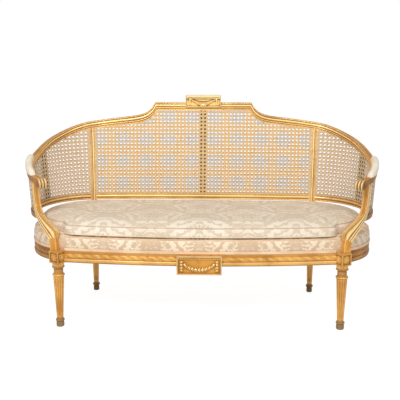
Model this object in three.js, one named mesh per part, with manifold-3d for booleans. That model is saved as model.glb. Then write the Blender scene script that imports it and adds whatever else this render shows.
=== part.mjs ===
// A gilded sofa with a caned barrel back, upholstered arms, a fixed upholstered seat and one loose cushion.
// Millimetres. X runs along the sofa, Y from front to back and Z up from the floor.
// While the pieces are shaped, Y is counted from the line through the two end centres.
import * as THREE from 'three';
import { mergeVertices } from 'three/addons/utils/BufferGeometryUtils.js';
import Module from 'manifold-3d';

const wasm = await Module();
wasm.setup();

// Clearances
const FIT = 0.3;
const OVERRUN = 4;

// Plan of the back, whose round ends are struck from one centre on each side
const END_CENTRE_X = 505;
const SHELL_END_RADIUS = 260;
const SHELL_BACK_BOW = 16;
const FRAME_DEPTH = 32;
const BACK_RAKE_SHARE = 0.155;
const SIDE_RAKE_SHARE = 0.06;
const STILE_ANGLE = 80.5;
const STILE_WIDTH = 28;
const SUPPORT_ANGLE = -33;

// Heights
const LEG_HEIGHT = 297.6;
const RAIL_HEIGHT = 54.4;
const SEAT_PAD_HEIGHT = 73;
const LOWER_RAIL_LIFT = 122;
const LOWER_RAIL_HEIGHT = 33;

// Upper edge of the arms and the crest: its height at the arm's tip, and how far it rises to each next place
const ARM_TIP = 664;
const ARM_FRONT_RISE = 4;
const ARM_MIDDLE_RISE = 34;
const ARM_REAR_RISE = 36;
const CREST_SIDE_RISE = 65;
const CREST_CORNER_RISE = 59;
const CREST_SHOULDER_RISE = 36;
const CREST_STEP_RISE = 57;
const ARM_MIDDLE_ANGLE = -8;
const ARM_REAR_ANGLE = 15;
const CREST_SIDE_ANGLE = 45;
const CREST_FLAT_HALF = 240;
const CREST_SWEEP = 28;

// Crest rail and arms
const CREST_HEIGHT = 40;
const CREST_SLIP = 16;
const ARM_HEIGHT = 33;
const TIP_HEIGHT = 42;
const ARM_END_ANGLE = -51.5;
const CREST_JOINT_ANGLE = 73;

// Seat rails and legs
const RAIL_DEPTH = 34;
const FRONT_BOW = 50;
const FRONT_LEG_ANGLE = -65.4;
const FRONT_LEG_PROUD = 10;
const BLOCK_SIZE = 55;
const BLOCK_TURN = 35;
const REAR_BLOCK_SIZE = 46;
const WEB_REBATE_DEPTH = 4;
const WEB_REBATE_WIDTH = 12;
const TENON_LENGTH = 14;
const TENON_THICKNESS = 11;
const FLUTE_COUNT = 12;
const FLUTE_DEPTH = 2.2;

// Turned profiles from the floor up: each pair is a radius and a height
const FRONT_LEG = {
  footRadius: 14, footBulge: 17, footHeight: 27, ringRadius: 19.5, ringHeight: 9,
  ankleRadius: 14.5, kneeRadius: 24, kneeHeight: 233, collarRadius: 27, collarHeight: 12,
  neckRadius: 18.5, neckHeight: 27, capitalRadius: 27.5, capitalHeight: 11,
};
const REAR_LEG = {
  footRadius: 11.5, footBulge: 13.5, footHeight: 27, ringRadius: 17.5, ringHeight: 11,
  ankleRadius: 12.5, kneeRadius: 19.5, kneeHeight: 262, collarRadius: 20.5, collarHeight: 8,
  neckRadius: 17, neckHeight: 12, capitalRadius: 21.5, capitalHeight: 12,
};

// Arm supports
const SUPPORT_WIDTH = 31;
const SUPPORT_DEPTH = 27;
const SUPPORT_FOOT_WIDTH = 36;
const ACANTHUS_WIDTH = 56;
const SUPPORT_TOE_ANGLE = 3;
const SUPPORT_PEG_RADIUS = 8;
const SUPPORT_PEG_LENGTH = 16;

// Tablets
const CREST_TABLET_WIDTH = 175;
const CREST_TABLET_HEIGHT = 59;
const CREST_TABLET_RISE = 37;
const CREST_TABLET_PROUD = 9;
const APRON_TABLET_WIDTH = 195;
const APRON_TABLET_HEIGHT = 83;
const APRON_TABLET_DROP = 32.6;
const APRON_TABLET_PROUD = 18;
const TABLET_HOUSING = 7;
const TABLET_BORDER = 11;
const TABLET_SINK = 5;

// Cane and the braces between its two layers
const CANE_THICKNESS = 1.8;
const CANE_SET = 4;
const CANE_COLUMNS = 12;
const CANE_COLUMNS_TO_BRACE = 3;
const CANE_ROWS = 4;
const CANE_OPEN_SHARE = 0.56;
const CANE_MARGIN = 14;
const BRACE_WIDTH = 28;
const BRACE_CLEARANCE = 1.8;
const BRACE_ANGLE = 27;

// Upholstery
const PAD_WIDTH = 45;
const PAD_HEIGHT = 27;
const PAD_REAR_ANGLE = 9;
const PAD_FRONT_ANGLE = -33;
const PAD_TAPER = 20;
const SEAT_SOFTNESS = 24;
const SEAT_BULGE = 3;
const SEAT_SET_IN = 5;
const CUSHION_RIM = 43;
const CUSHION_CROWN = 13;
const CUSHION_END_GAP = 20;
const CUSHION_BACK_GAP = 14;
const CUSHION_ROUND_ANGLE = 60;
const CUSHION_BACK_ANGLE = 70;
const CUSHION_LEG_GAP = 23;
const CUSHION_DRAW = 4;
const CUSHION_NOTCH_GAP = 9;
const GIMP_HEIGHT = 13;
const GIMP_THICKNESS = 2.4;

// Hidden work under the seat
const WEB_WIDTH = 60;
const WEB_PITCH = 136;
const WEB_THICKNESS = 1.8;
const WEB_CLEARANCE = 1.5;
const HESSIAN_THICKNESS = 1;
const CROSS_RAIL_X = 215;
const CROSS_RAIL_WIDTH = 40;
const CROSS_RAIL_HEIGHT = 24;
const CROSS_RAIL_DROP = 16;
const CORNER_BLOCK_SIZE = 74;
const CORNER_BLOCK_INWARD_SHARE = 0.8;
const CORNER_BLOCK_HEIGHT = 30;
const CORNER_BLOCK_DROP = 14;
const SCREW_RADIUS = 2.4;
const SCREW_HEAD_RADIUS = 5;
const SCREW_HEAD_HEIGHT = 3;
const SCREW_LENGTH = 26;
const SCREW_INSET = 15;

// Levels that follow from the sizes above
const RAIL_TOP = LEG_HEIGHT + RAIL_HEIGHT;
const SEAT_TOP = RAIL_TOP + SEAT_PAD_HEIGHT;
const LOWER_RAIL_BOTTOM = RAIL_TOP + LOWER_RAIL_LIFT;
const LOWER_RAIL_TOP = LOWER_RAIL_BOTTOM + LOWER_RAIL_HEIGHT;
const SHELL_DATUM = (LOWER_RAIL_BOTTOM + LOWER_RAIL_TOP) / 2;
const ARM_FRONT = ARM_TIP + ARM_FRONT_RISE;
const ARM_MIDDLE = ARM_FRONT + ARM_MIDDLE_RISE;
const ARM_REAR = ARM_MIDDLE + ARM_REAR_RISE;
const CREST_SIDE = ARM_REAR + CREST_SIDE_RISE;
const CREST_CORNER = CREST_SIDE + CREST_CORNER_RISE;
const CREST_SHOULDER = CREST_CORNER + CREST_SHOULDER_RISE;
const CREST_TOP = CREST_SHOULDER + CREST_STEP_RISE;

const radians = THREE.MathUtils.degToRad;
const steps = (count) => Array.from({ length: count + 1 }, (_, k) => k / count);
const spread = (low, high, count) => steps(count).map((share) => low + (high - low) * share);

const gilt = () => new THREE.MeshStandardMaterial({ color: 0xc98f3a, roughness: 0.42, metalness: 0.55 });
const beech = () => new THREE.MeshStandardMaterial({ color: 0xa9825a, roughness: 0.75, metalness: 0 });
const cane = () => new THREE.MeshStandardMaterial({ color: 0xcdb48c, roughness: 0.6, metalness: 0 });
const damask = () => new THREE.MeshStandardMaterial({ color: 0xe1d3bd, roughness: 0.55, metalness: 0 });
const plainSilk = () => new THREE.MeshStandardMaterial({ color: 0xe6dcc6, roughness: 0.6, metalness: 0 });
const braid = () => new THREE.MeshStandardMaterial({ color: 0xe3b58f, roughness: 0.7, metalness: 0 });
const jute = () => new THREE.MeshStandardMaterial({ color: 0xb59868, roughness: 0.9, metalness: 0 });
const hessian = () => new THREE.MeshStandardMaterial({ color: 0x9c8358, roughness: 0.95, metalness: 0 });
const steel = () => new THREE.MeshStandardMaterial({ color: 0x8d8a84, roughness: 0.4, metalness: 0.9 });

const sofa = new THREE.Group();

function add(name, geometry, material) {
  const mesh = new THREE.Mesh(geometry, material);
  mesh.name = name;
  sofa.add(mesh);
}

// Turns a closed geometry into a solid for cutting and joining
function solidOf(geometry) {
  const bare = geometry.clone();
  bare.deleteAttribute('normal');
  bare.deleteAttribute('uv');
  const merged = mergeVertices(bare);
  const triVerts = new Uint32Array(merged.index.array);
  const vertProperties = new Float32Array(merged.attributes.position.array);
  return new wasm.Manifold(new wasm.Mesh({ numProp: 3, vertProperties, triVerts }));
}

function geometryOf(solid) {
  const mesh = solid.getMesh();
  const geometry = new THREE.BufferGeometry();
  geometry.setAttribute('position', new THREE.BufferAttribute(new Float32Array(mesh.vertProperties), 3));
  geometry.setIndex(new THREE.BufferAttribute(new Uint32Array(mesh.triVerts), 1));
  return geometry;
}

const cut = (solid, ...tools) => tools.reduce((left, tool) => left.subtract(tool), solid);
const join = (solid, ...others) => others.reduce((whole, other) => whole.add(other), solid);

function mirrored(geometry) {
  const twin = geometry.clone();
  twin.scale(-1, 1, 1);
  const index = twin.index.array;
  for (let k = 0; k < index.length; k += 3) {
    [index[k], index[k + 1]] = [index[k + 1], index[k]];
  }
  return twin;
}

// Closed skin through rings of points, with both end rings filled in
function skin(rings) {
  const size = rings[0].length;
  const positions = rings.flat().flatMap((point) => point.toArray());
  const index = [];
  for (let r = 0; r + 1 < rings.length; r += 1) {
    for (let k = 0; k < size; k += 1) {
      const next = (k + 1) % size;
      const [a, b, c, d] = [r * size + k, r * size + next, (r + 1) * size + k, (r + 1) * size + next];
      index.push(a, c, b, b, c, d);
    }
  }
  const last = (rings.length - 1) * size;
  for (const [a, b, c] of capTriangles(rings[0])) {
    index.push(a, b, c);
  }
  for (const [a, b, c] of capTriangles(rings[rings.length - 1])) {
    index.push(last + c, last + b, last + a);
  }
  return facingOut(positions, index);
}

// Triangles that fill a flat ring, wound so that they join the walls of the skin
function capTriangles(ring) {
  const centre = ring.reduce((sum, point) => sum.add(point), new THREE.Vector3()).divideScalar(ring.length);
  const normal = new THREE.Vector3();
  ring.forEach((point, k) => {
    const next = ring[(k + 1) % ring.length];
    normal.add(point.clone().sub(centre).cross(next.clone().sub(centre)));
  });
  normal.normalize();
  const across = ring[1].clone().sub(ring[0]).projectOnPlane(normal).normalize();
  const up = normal.clone().cross(across);
  const flat = ring.map((point) => new THREE.Vector2(point.dot(across), point.dot(up)));
  return THREE.ShapeUtils.triangulateShape(flat, []);
}

function facingOut(positions, index) {
  let volume = 0;
  const at = (k) => new THREE.Vector3().fromArray(positions, 3 * k);
  for (let k = 0; k < index.length; k += 3) {
    volume += at(index[k]).dot(at(index[k + 1]).cross(at(index[k + 2])));
  }
  if (volume < 0) {
    for (let k = 0; k < index.length; k += 3) {
      [index[k], index[k + 1]] = [index[k + 1], index[k]];
    }
  }
  const geometry = new THREE.BufferGeometry();
  geometry.setAttribute('position', new THREE.Float32BufferAttribute(positions, 3));
  geometry.setIndex(index);
  return geometry;
}

// Radius of the long shallow arc that joins the two round ends smoothly
const SHELL_BACK_DEPTH = SHELL_END_RADIUS + SHELL_BACK_BOW;
const BACK_RADIUS = (END_CENTRE_X ** 2 + SHELL_BACK_DEPTH ** 2 - SHELL_END_RADIUS ** 2)
  / (2 * (SHELL_BACK_DEPTH - SHELL_END_RADIUS));
const BACK_CENTRE_Y = SHELL_BACK_DEPTH - BACK_RADIUS;
const MEETING_ANGLE = Math.atan2(-BACK_CENTRE_Y, END_CENTRE_X);
const BACK_LENGTH = BACK_RADIUS * (Math.PI / 2 - MEETING_ANGLE);

// Stations are lengths along the back's inner face from its middle, positive to the right
const stationAt = (degrees) => BACK_LENGTH + SHELL_END_RADIUS * (MEETING_ANGLE - radians(degrees));
const STILE_STATION = stationAt(STILE_ANGLE);

// Inner face of the back, its outward direction and its rake at a station
function planAt(station) {
  const side = station < 0 ? -1 : 1;
  const along = Math.abs(station);
  const onBack = along < BACK_LENGTH;
  const angle = onBack
    ? Math.PI / 2 - along / BACK_RADIUS
    : MEETING_ANGLE - (along - BACK_LENGTH) / SHELL_END_RADIUS;
  const [nx, ny] = [Math.cos(angle), Math.sin(angle)];
  const x = onBack ? BACK_RADIUS * nx : END_CENTRE_X + SHELL_END_RADIUS * nx;
  const y = onBack ? BACK_CENTRE_Y + BACK_RADIUS * ny : SHELL_END_RADIUS * ny;
  const rake = SIDE_RAKE_SHARE + (BACK_RAKE_SHARE - SIDE_RAKE_SHARE) * Math.max(0, ny) ** 2;
  return { x: side * x, y, nx: side * nx, ny, rake };
}

// Point of the raked back: out is the distance behind its inner face
function onShell(station, out, z) {
  const { x, y, nx, ny, rake } = planAt(station);
  const reach = out + rake * (z - SHELL_DATUM);
  return new THREE.Vector3(x + reach * nx, y + reach * ny, z);
}

// Point of the upright seat frame, which follows the back's plan at the level of the rails
function onSeat(station, out, z) {
  return onShell(station, out, RAIL_TOP).setZ(z);
}

// Front bow, struck through the centres of the front legs
const FRONT_LEG_RADIUS = onSeat(stationAt(0), FRAME_DEPTH, 0).x - END_CENTRE_X + FRONT_LEG_PROUD;
const FRONT_LEG_X = END_CENTRE_X + FRONT_LEG_RADIUS * Math.cos(radians(FRONT_LEG_ANGLE));
const FRONT_LEG_Y = FRONT_LEG_RADIUS * Math.sin(radians(FRONT_LEG_ANGLE));
const FRONT_RADIUS = (FRONT_LEG_X ** 2 + FRONT_BOW ** 2) / (2 * FRONT_BOW);
const FRONT_CENTRE_Y = FRONT_LEG_Y - FRONT_BOW + FRONT_RADIUS;

// Point of the front rail: out is the distance ahead of its inner face
function onFront(station, out, z) {
  const angle = station / FRONT_RADIUS;
  const radius = FRONT_RADIUS - RAIL_DEPTH + out;
  return new THREE.Vector3(radius * Math.sin(angle), FRONT_CENTRE_Y - radius * Math.cos(angle), z);
}

// Sweeps a section of (out, z) pairs, which may change on the way, through a list of stations
function sweep(point, stations, section) {
  return skin(stations.map((station) => section(station).map(([out, z]) => point(station, out, z))));
}

// Curved bar of plain section, as used for tenons, cane and cutters
function bar(point, stations, [outLow, outHigh], [low, high]) {
  const level = (edge, station) => (typeof edge === 'function' ? edge(station) : edge);
  return sweep(point, stations, (station) => [
    [outLow, level(low, station)], [outHigh, level(low, station)],
    [outHigh, level(high, station)], [outLow, level(high, station)],
  ]);
}

// Smooth curve that never overshoots, through (station, height) pairs
function heightThrough(pairs, station) {
  const last = pairs.length - 2;
  const found = pairs.findIndex(([at], k) => k > 0 && station <= at);
  const k = found < 0 ? last : found - 1;
  const slope = (i) => (pairs[i + 1][1] - pairs[i][1]) / (pairs[i + 1][0] - pairs[i][0]);
  const tangent = (i) => {
    const before = slope(Math.max(0, i - 1));
    const after = slope(Math.min(last, i));
    return before * after > 0 ? (2 * before * after) / (before + after) : 0;
  };
  const width = pairs[k + 1][0] - pairs[k][0];
  const u = (station - pairs[k][0]) / width;
  const ease = u * u * (3 - 2 * u);
  const rise = pairs[k][1] + (pairs[k + 1][1] - pairs[k][1]) * ease;
  return rise + width * (tangent(k) * u * (1 - u) ** 2 - tangent(k + 1) * u * u * (1 - u));
}

// Height of the upper edge beyond the crest's flat middle, and the depth of the rail below it
const SHOULDER_LINE = [
  [CREST_FLAT_HALF, CREST_SHOULDER],
  [STILE_STATION, CREST_CORNER],
  [stationAt(CREST_SIDE_ANGLE), CREST_SIDE],
  [stationAt(ARM_REAR_ANGLE), ARM_REAR],
  [stationAt(ARM_MIDDLE_ANGLE), ARM_MIDDLE],
  [stationAt(SUPPORT_ANGLE), ARM_FRONT],
  [stationAt(ARM_END_ANGLE), ARM_TIP],
];
const RAIL_HEIGHTS = [
  [CREST_FLAT_HALF, CREST_HEIGHT],
  [stationAt(CREST_SIDE_ANGLE), (CREST_HEIGHT + ARM_HEIGHT) / 2],
  [stationAt(ARM_REAR_ANGLE), ARM_HEIGHT],
  [stationAt(SUPPORT_ANGLE), ARM_HEIGHT],
  [stationAt(ARM_END_ANGLE), TIP_HEIGHT],
];

// Upper edge of the crest rail and the arms: flat, then swept down to the shoulder and on round the ends
function crestTop(station) {
  const along = Math.abs(station);
  if (along <= CREST_FLAT_HALF) {
    return CREST_TOP;
  }
  const swept = (CREST_TOP - CREST_SHOULDER) * Math.exp((CREST_FLAT_HALF - along) / CREST_SWEEP);
  return heightThrough(SHOULDER_LINE, along) + swept;
}

function crestBottom(station) {
  const along = Math.abs(station);
  const slip = along < STILE_STATION ? CREST_SLIP * (1 - along / STILE_STATION) : 0;
  const height = along < CREST_FLAT_HALF ? CREST_HEIGHT : heightThrough(RAIL_HEIGHTS, along);
  return crestTop(along + slip) - height;
}

// Moulded section of the crest rail and the arms, as shares of its depth and height
const CREST_SECTION_SHARES = [
  [0.06, 0], [0.94, 0], [1, 0.12], [1, 0.78], [0.86, 1], [0.2, 1], [0.08, 0.93],
  [0, 0.78], [0.12, 0.6], [0.12, 0.4], [0, 0.22],
];

function crestSection(station, grow = 0) {
  const [low, high] = [crestBottom(station) - grow, crestTop(station) + grow];
  const depth = FRAME_DEPTH + 2 * grow;
  return CREST_SECTION_SHARES.map(([out, rise]) => [out * depth - grow, low + rise * (high - low)]);
}

// Crest rail and arm rails, tongued together behind the stiles
const CREST_JOINT = stationAt(CREST_JOINT_ANGLE);
const SWEPT_SHARES = [0, 0.24, 0.56, 1, 1.6, 2.48, 4];

function crestStations(grow = 0) {
  const swept = SWEPT_SHARES.map((share) => CREST_FLAT_HALF + share * CREST_SWEEP);
  const stileEdges = [stileEdge(-1, FIT), stileEdge(1, FIT)];
  const beyond = [...spread(swept[swept.length - 1], CREST_JOINT + grow, 7).slice(1), ...stileEdges];
  const flat = spread(CREST_FLAT_HALF - CREST_SLIP, 0, 4).reverse();
  const half = [...flat, ...swept, ...beyond.sort((a, b) => a - b)];
  return [...half.slice(1).map((station) => -station).reverse(), ...half];
}

function armTongue(grow) {
  const inset = ARM_HEIGHT / 3;
  const stations = spread(CREST_JOINT - TENON_LENGTH - grow, CREST_JOINT + FIT + (grow > 0 ? 0 : OVERRUN), 3);
  const out = [(FRAME_DEPTH - TENON_THICKNESS) / 2 - grow, (FRAME_DEPTH + TENON_THICKNESS) / 2 + grow];
  const levels = [(s) => crestBottom(s) + inset - grow, (s) => crestTop(s) - inset + grow];
  return solidOf(bar(onShell, stations, out, levels));
}

function stileTongue(grow) {
  const middle = STILE_STATION;
  const half = STILE_WIDTH / 3 + grow;
  const out = [(FRAME_DEPTH - TENON_THICKNESS) / 2 - grow, (FRAME_DEPTH + TENON_THICKNESS) / 2 + grow];
  const levels = [(s) => crestBottom(s) - OVERRUN, (s) => crestBottom(s) + TENON_LENGTH + grow];
  return solidOf(bar(onShell, [middle - half, middle + half], out, levels));
}

function crestTabletBlock(grow) {
  const half = CREST_TABLET_WIDTH / 2 + grow;
  const low = CREST_TOP + CREST_TABLET_RISE - CREST_TABLET_HEIGHT;
  const out = [-CREST_TABLET_PROUD - grow, TABLET_HOUSING + FRAME_DEPTH / 2 + grow];
  return solidOf(bar(onShell, spread(-half, half, 6), out, [low - grow, low + CREST_TABLET_HEIGHT + grow]));
}

const crestRail = (grow = 0) => solidOf(sweep(onShell, crestStations(grow), (s) => crestSection(s, grow)));
const twins = (...solids) => solids.flatMap((solid) => [solid, solidOf(mirrored(geometryOf(solid)))]);

function makeCrest() {
  const cutters = [...twins(stileTongue(FIT), armTongue(FIT)), crestTabletBlock(FIT)];
  add('crest_rail', geometryOf(cut(crestRail(), ...cutters)), gilt());
  add('crest_tablet', geometryOf(cut(crestTabletBlock(0), crestTabletField())), gilt());
}

// Sunk field on the tablet's face, inside a border
function crestTabletField() {
  const half = CREST_TABLET_WIDTH / 2 - TABLET_BORDER;
  const low = CREST_TOP + CREST_TABLET_RISE - CREST_TABLET_HEIGHT + TABLET_BORDER;
  const high = low + CREST_TABLET_HEIGHT - 2 * TABLET_BORDER;
  const out = [-CREST_TABLET_PROUD - OVERRUN, TABLET_SINK - CREST_TABLET_PROUD];
  return solidOf(bar(onShell, spread(-half, half, 4), out, [low, high]));
}

const armStations = (grow = 0) => spread(CREST_JOINT + FIT - grow, stationAt(ARM_END_ANGLE) + grow, 16);

function armRail(grow = 0) {
  return solidOf(sweep(onShell, armStations(grow), (station) => crestSection(station, grow)));
}

// Arm supports rise from the front leg blocks and sweep back and out to the arm rails.
// Each place is an angle, a height and a reach from the end centre, and the two widths of the wood there.
const ARM_CENTRE_OUT = FRAME_DEPTH / 2;
const SUPPORT_BASE_OUT = FRONT_LEG_RADIUS - SHELL_END_RADIUS + (SHELL_DATUM - RAIL_TOP) * SIDE_RAKE_SHARE;
const SUPPORT_BASE_ANGLE = FRONT_LEG_ANGLE + SUPPORT_TOE_ANGLE;
const SUPPORT_RISE = crestBottom(stationAt(SUPPORT_ANGLE)) - RAIL_TOP;
const SUPPORT_SWEEP_SHARES = [
  [0, 0, 0], [0.04, 0, 0.25], [0.17, 0.03, 0.8], [0.3, 0.16, 1], [0.37, 0.36, 0.9], [0.43, 0.62, 0.55],
  [0.49, 0.88, 0.2], [0.555, 1, 0.05], [0.7, 1, 0], [0.85, 1, 0], [1, 1, 0], [1.03, 1, 0],
];

function supportPlaces() {
  return SUPPORT_SWEEP_SHARES.map(([rise, turn, flare]) => {
    const angle = SUPPORT_BASE_ANGLE + (SUPPORT_ANGLE - SUPPORT_BASE_ANGLE) * turn;
    const out = SUPPORT_BASE_OUT + (ARM_CENTRE_OUT - SUPPORT_BASE_OUT) * turn;
    const z = RAIL_TOP + FIT + SUPPORT_RISE * rise;
    const base = SUPPORT_FOOT_WIDTH + (SUPPORT_WIDTH - SUPPORT_FOOT_WIDTH) * turn;
    return { angle, out, z, width: base + (ACANTHUS_WIDTH - base) * flare };
  });
}

// Station of the support's middle line at a height
function supportStation(z) {
  return heightThrough(supportPlaces().map(({ angle, z: height }) => [height, stationAt(angle)]), z);
}

function armSupport(grow = 0, depth = SUPPORT_DEPTH) {
  const places = supportPlaces();
  const centres = places.map(({ angle, out, z }) => onShell(stationAt(angle), out, z));
  const rings = places.map(({ angle, width }, k) => {
    const ends = [centres[Math.max(0, k - 1)], centres[Math.min(centres.length - 1, k + 1)]];
    const level = k === 0 || k === places.length - 1;
    const along = level ? new THREE.Vector3(0, 0, 1) : ends[1].clone().sub(ends[0]).normalize();
    const outward = new THREE.Vector3(Math.cos(radians(angle)), Math.sin(radians(angle)), 0);
    const across = along.clone().cross(outward).normalize();
    const forward = across.clone().cross(along);
    return roundedRing(width + 2 * grow, depth + 2 * grow).map(([w, d]) => centres[k].clone()
      .addScaledVector(across, w).addScaledVector(forward, d));
  });
  return solidOf(skin(rings));
}

// Rectangle with eased corners, as pairs about its middle
const EASED_SHARES = [
  [1, -0.7], [1, 0.7], [0.75, 1], [-0.75, 1], [-1, 0.7], [-1, -0.7], [-0.75, -1], [0.75, -1],
];
const roundedRing = (width, depth) => EASED_SHARES.map(([w, d]) => [(w * width) / 2, (d * depth) / 2]);

function supportPeg(atTop, grow) {
  const places = supportPlaces();
  const place = atTop ? places[places.length - 2] : places[0];
  const centre = onShell(stationAt(place.angle), place.out, place.z);
  const length = SUPPORT_PEG_LENGTH + OVERRUN + grow;
  const shift = (atTop ? 1 : -1) * (length / 2 - OVERRUN);
  const peg = new THREE.CylinderGeometry(SUPPORT_PEG_RADIUS + grow, SUPPORT_PEG_RADIUS + grow, length, 16);
  peg.rotateX(Math.PI / 2);
  peg.translate(centre.x, centre.y, centre.z + shift);
  return solidOf(peg);
}

function makeArms() {
  const arm = cut(join(armRail(), armTongue(0)), supportPeg(true, FIT));
  const trimmed = cut(armSupport(), armRail(FIT), sideRailTongue(true, FIT));
  const support = join(trimmed, supportPeg(true, 0), supportPeg(false, 0));
  pair('arm_rail', geometryOf(arm), gilt);
  pair('arm_support', geometryOf(support), gilt);
}

// Adds a right-hand piece and its mirror image
function pair(name, geometry, material) {
  add(`right_${name}`, geometry, material());
  add(`left_${name}`, mirrored(geometry), material());
}

// Lower rails of the back
const LOWER_SECTION_SHARES = [
  [0.1, 0], [1, 0], [1, 1], [0.1, 1], [0, 0.88], [0, 0.62], [0.12, 0.5], [0, 0.38], [0, 0.12],
];

function lowerSection() {
  return LOWER_SECTION_SHARES.map(([out, rise]) => [
    out * FRAME_DEPTH, LOWER_RAIL_BOTTOM + rise * LOWER_RAIL_HEIGHT,
  ]);
}

function lowerTongue(from, to, grow) {
  const inset = LOWER_RAIL_HEIGHT / 4 - grow;
  const out = [(FRAME_DEPTH - TENON_THICKNESS) / 2 - grow, (FRAME_DEPTH + TENON_THICKNESS) / 2 + grow];
  return solidOf(bar(onShell, spread(from, to, 2), out, [LOWER_RAIL_BOTTOM + inset, LOWER_RAIL_TOP - inset]));
}

const stileEdge = (side, gap) => STILE_STATION + side * (STILE_WIDTH / 2 + gap);

function backRailTongue(grow) {
  const edge = stileEdge(-1, 0);
  return lowerTongue(edge - OVERRUN, edge + TENON_THICKNESS + grow, grow);
}

function sideRailTongue(atSupport, grow) {
  if (atSupport) {
    const place = supportStation(SHELL_DATUM) - OVERRUN;
    return lowerTongue(place - SUPPORT_WIDTH, place + grow, grow);
  }
  const edge = stileEdge(1, 0);
  return lowerTongue(edge - TENON_THICKNESS - grow, edge + OVERRUN, grow);
}

function makeLowerRails() {
  const half = stileEdge(-1, FIT);
  const back = solidOf(sweep(onShell, spread(-half, half, 10), lowerSection));
  const tongue = backRailTongue(0);
  add('lower_back_rail', geometryOf(join(back, tongue, solidOf(mirrored(geometryOf(tongue))))), gilt());
  const start = stileEdge(1, FIT);
  const raking = (share, out, z) => onShell(start + (supportStation(z) - start) * share, out, z);
  const side = cut(solidOf(sweep(raking, steps(15), lowerSection)), armSupport(FIT, 2 * FRAME_DEPTH));
  pair('lower_side_rail', geometryOf(join(side, sideRailTongue(true, 0), sideRailTongue(false, 0))), gilt);
}

// Rings of a turned leg: each is a radius, a height and 1 where the flutes are cut
function turned({
  footRadius, footBulge, footHeight, ringRadius, ringHeight, ankleRadius, kneeRadius, kneeHeight,
  collarRadius, collarHeight, neckRadius, neckHeight, capitalRadius, capitalHeight,
}) {
  const ringTop = footHeight + ringHeight;
  const collarTop = kneeHeight + collarHeight;
  const neckTop = collarTop + neckHeight;
  const fluteFoot = ringTop + 2 * ringHeight;
  const fluteHead = kneeHeight - ringHeight;
  const taper = (kneeRadius - ankleRadius) / (kneeHeight - ringTop);
  const fluteRadius = (z) => ankleRadius + taper * (z - ringTop);
  return [
    [footRadius, 0, 0], [footBulge, footHeight / 3, 0], [footBulge, footHeight, 0],
    [ringRadius, footHeight + ringHeight / 4, 0], [ringRadius, ringTop - ringHeight / 4, 0],
    [ankleRadius, ringTop, 0], [fluteRadius(fluteFoot - ringHeight), fluteFoot - ringHeight, 0],
    [fluteRadius(fluteFoot), fluteFoot, 1], [fluteRadius(fluteHead), fluteHead, 1],
    [kneeRadius, kneeHeight - ringHeight / 4, 0],
    [collarRadius, kneeHeight + collarHeight / 4, 0], [collarRadius, collarTop - collarHeight / 4, 0],
    [neckRadius, collarTop, 0], [neckRadius, neckTop, 0],
    [capitalRadius, neckTop + capitalHeight / 3, 0], [capitalRadius, LEG_HEIGHT + OVERRUN, 0],
  ];
}

function turnedLeg(leg, x, y) {
  const points = 2 * FLUTE_COUNT;
  const rings = turned(leg).map(([radius, z, fluted]) => Array.from({ length: points }, (_, k) => {
    const angle = (2 * Math.PI * k) / points;
    const reach = k % 2 === 0 ? radius : radius - FLUTE_DEPTH * fluted;
    return new THREE.Vector3(x + reach * Math.cos(angle), y + reach * Math.sin(angle), z);
  }));
  return solidOf(skin(rings));
}

function block(size, x, y, turn, grow) {
  const shape = new THREE.BoxGeometry(size + 2 * grow, size + 2 * grow, RAIL_HEIGHT + 2 * grow);
  shape.rotateZ(radians(turn));
  shape.translate(x, y, LEG_HEIGHT + RAIL_HEIGHT / 2);
  return solidOf(shape);
}

const frontBlock = (grow) => block(BLOCK_SIZE, FRONT_LEG_X, FRONT_LEG_Y, BLOCK_TURN, grow);
const REAR_LEG_PLACE = onSeat(STILE_STATION, FRAME_DEPTH / 2, 0);
const rearBlock = (grow) => block(REAR_BLOCK_SIZE, REAR_LEG_PLACE.x, REAR_LEG_PLACE.y, STILE_ANGLE, grow);

// Stile in one piece with the rear leg, raked with the back and moulded on its face
const STILE_FACE_SHARES = [
  [-0.5, 0.1], [-0.42, 0], [-0.2, 0], [-0.1, 0.12], [0.1, 0.12], [0.2, 0], [0.42, 0], [0.5, 0.1],
];

function stile(grow = 0) {
  const middle = STILE_STATION;
  const places = new Map(STILE_FACE_SHARES.map(([across, sunk]) => [
    middle + across * (STILE_WIDTH + 2 * grow), sunk * FRAME_DEPTH - grow]));
  const foot = RAIL_TOP - OVERRUN - grow;
  const head = (station) => crestBottom(station) + OVERRUN;
  return solidOf(sweep(onShell, [...places.keys()], (station) => [
    [places.get(station), foot], [FRAME_DEPTH + grow, foot],
    [FRAME_DEPTH + grow, head(station)], [places.get(station), head(station)],
  ]));
}

// Tenons of the seat rails
const RAIL_TENON = [LEG_HEIGHT + RAIL_HEIGHT / 5, RAIL_TOP - RAIL_HEIGHT / 4];
const railTenonLevels = (grow) => [RAIL_TENON[0] - grow, RAIL_TENON[1] + grow];

function seatTongue(point, from, to, outer, grow) {
  const middle = outer - RAIL_DEPTH / 2;
  const out = [middle - TENON_THICKNESS / 2 - grow, middle + TENON_THICKNESS / 2 + grow];
  return solidOf(bar(point, spread(from, to, 2), out, railTenonLevels(grow)));
}

const FRONT_BLOCK_STATION = FRONT_RADIUS * Math.asin(FRONT_LEG_X / FRONT_RADIUS);
const SIDE_BLOCK_STATION = stationAt(FRONT_LEG_ANGLE);
const REAR_BLOCK_REACH = REAR_BLOCK_SIZE / 2;

// Tongue that runs from inside a rail into the front leg's block
function tongueToFrontLeg(point, blockStation, outer, grow) {
  const end = blockStation - BLOCK_SIZE / 2 + TENON_LENGTH / 2 + grow;
  return seatTongue(point, blockStation - BLOCK_SIZE, end, outer, grow);
}

const frontTongue = (grow) => tongueToFrontLeg(onFront, FRONT_BLOCK_STATION, RAIL_DEPTH, grow);
const sideFrontTongue = (grow) => tongueToFrontLeg(onSeat, SIDE_BLOCK_STATION, FRAME_DEPTH, grow);

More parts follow.
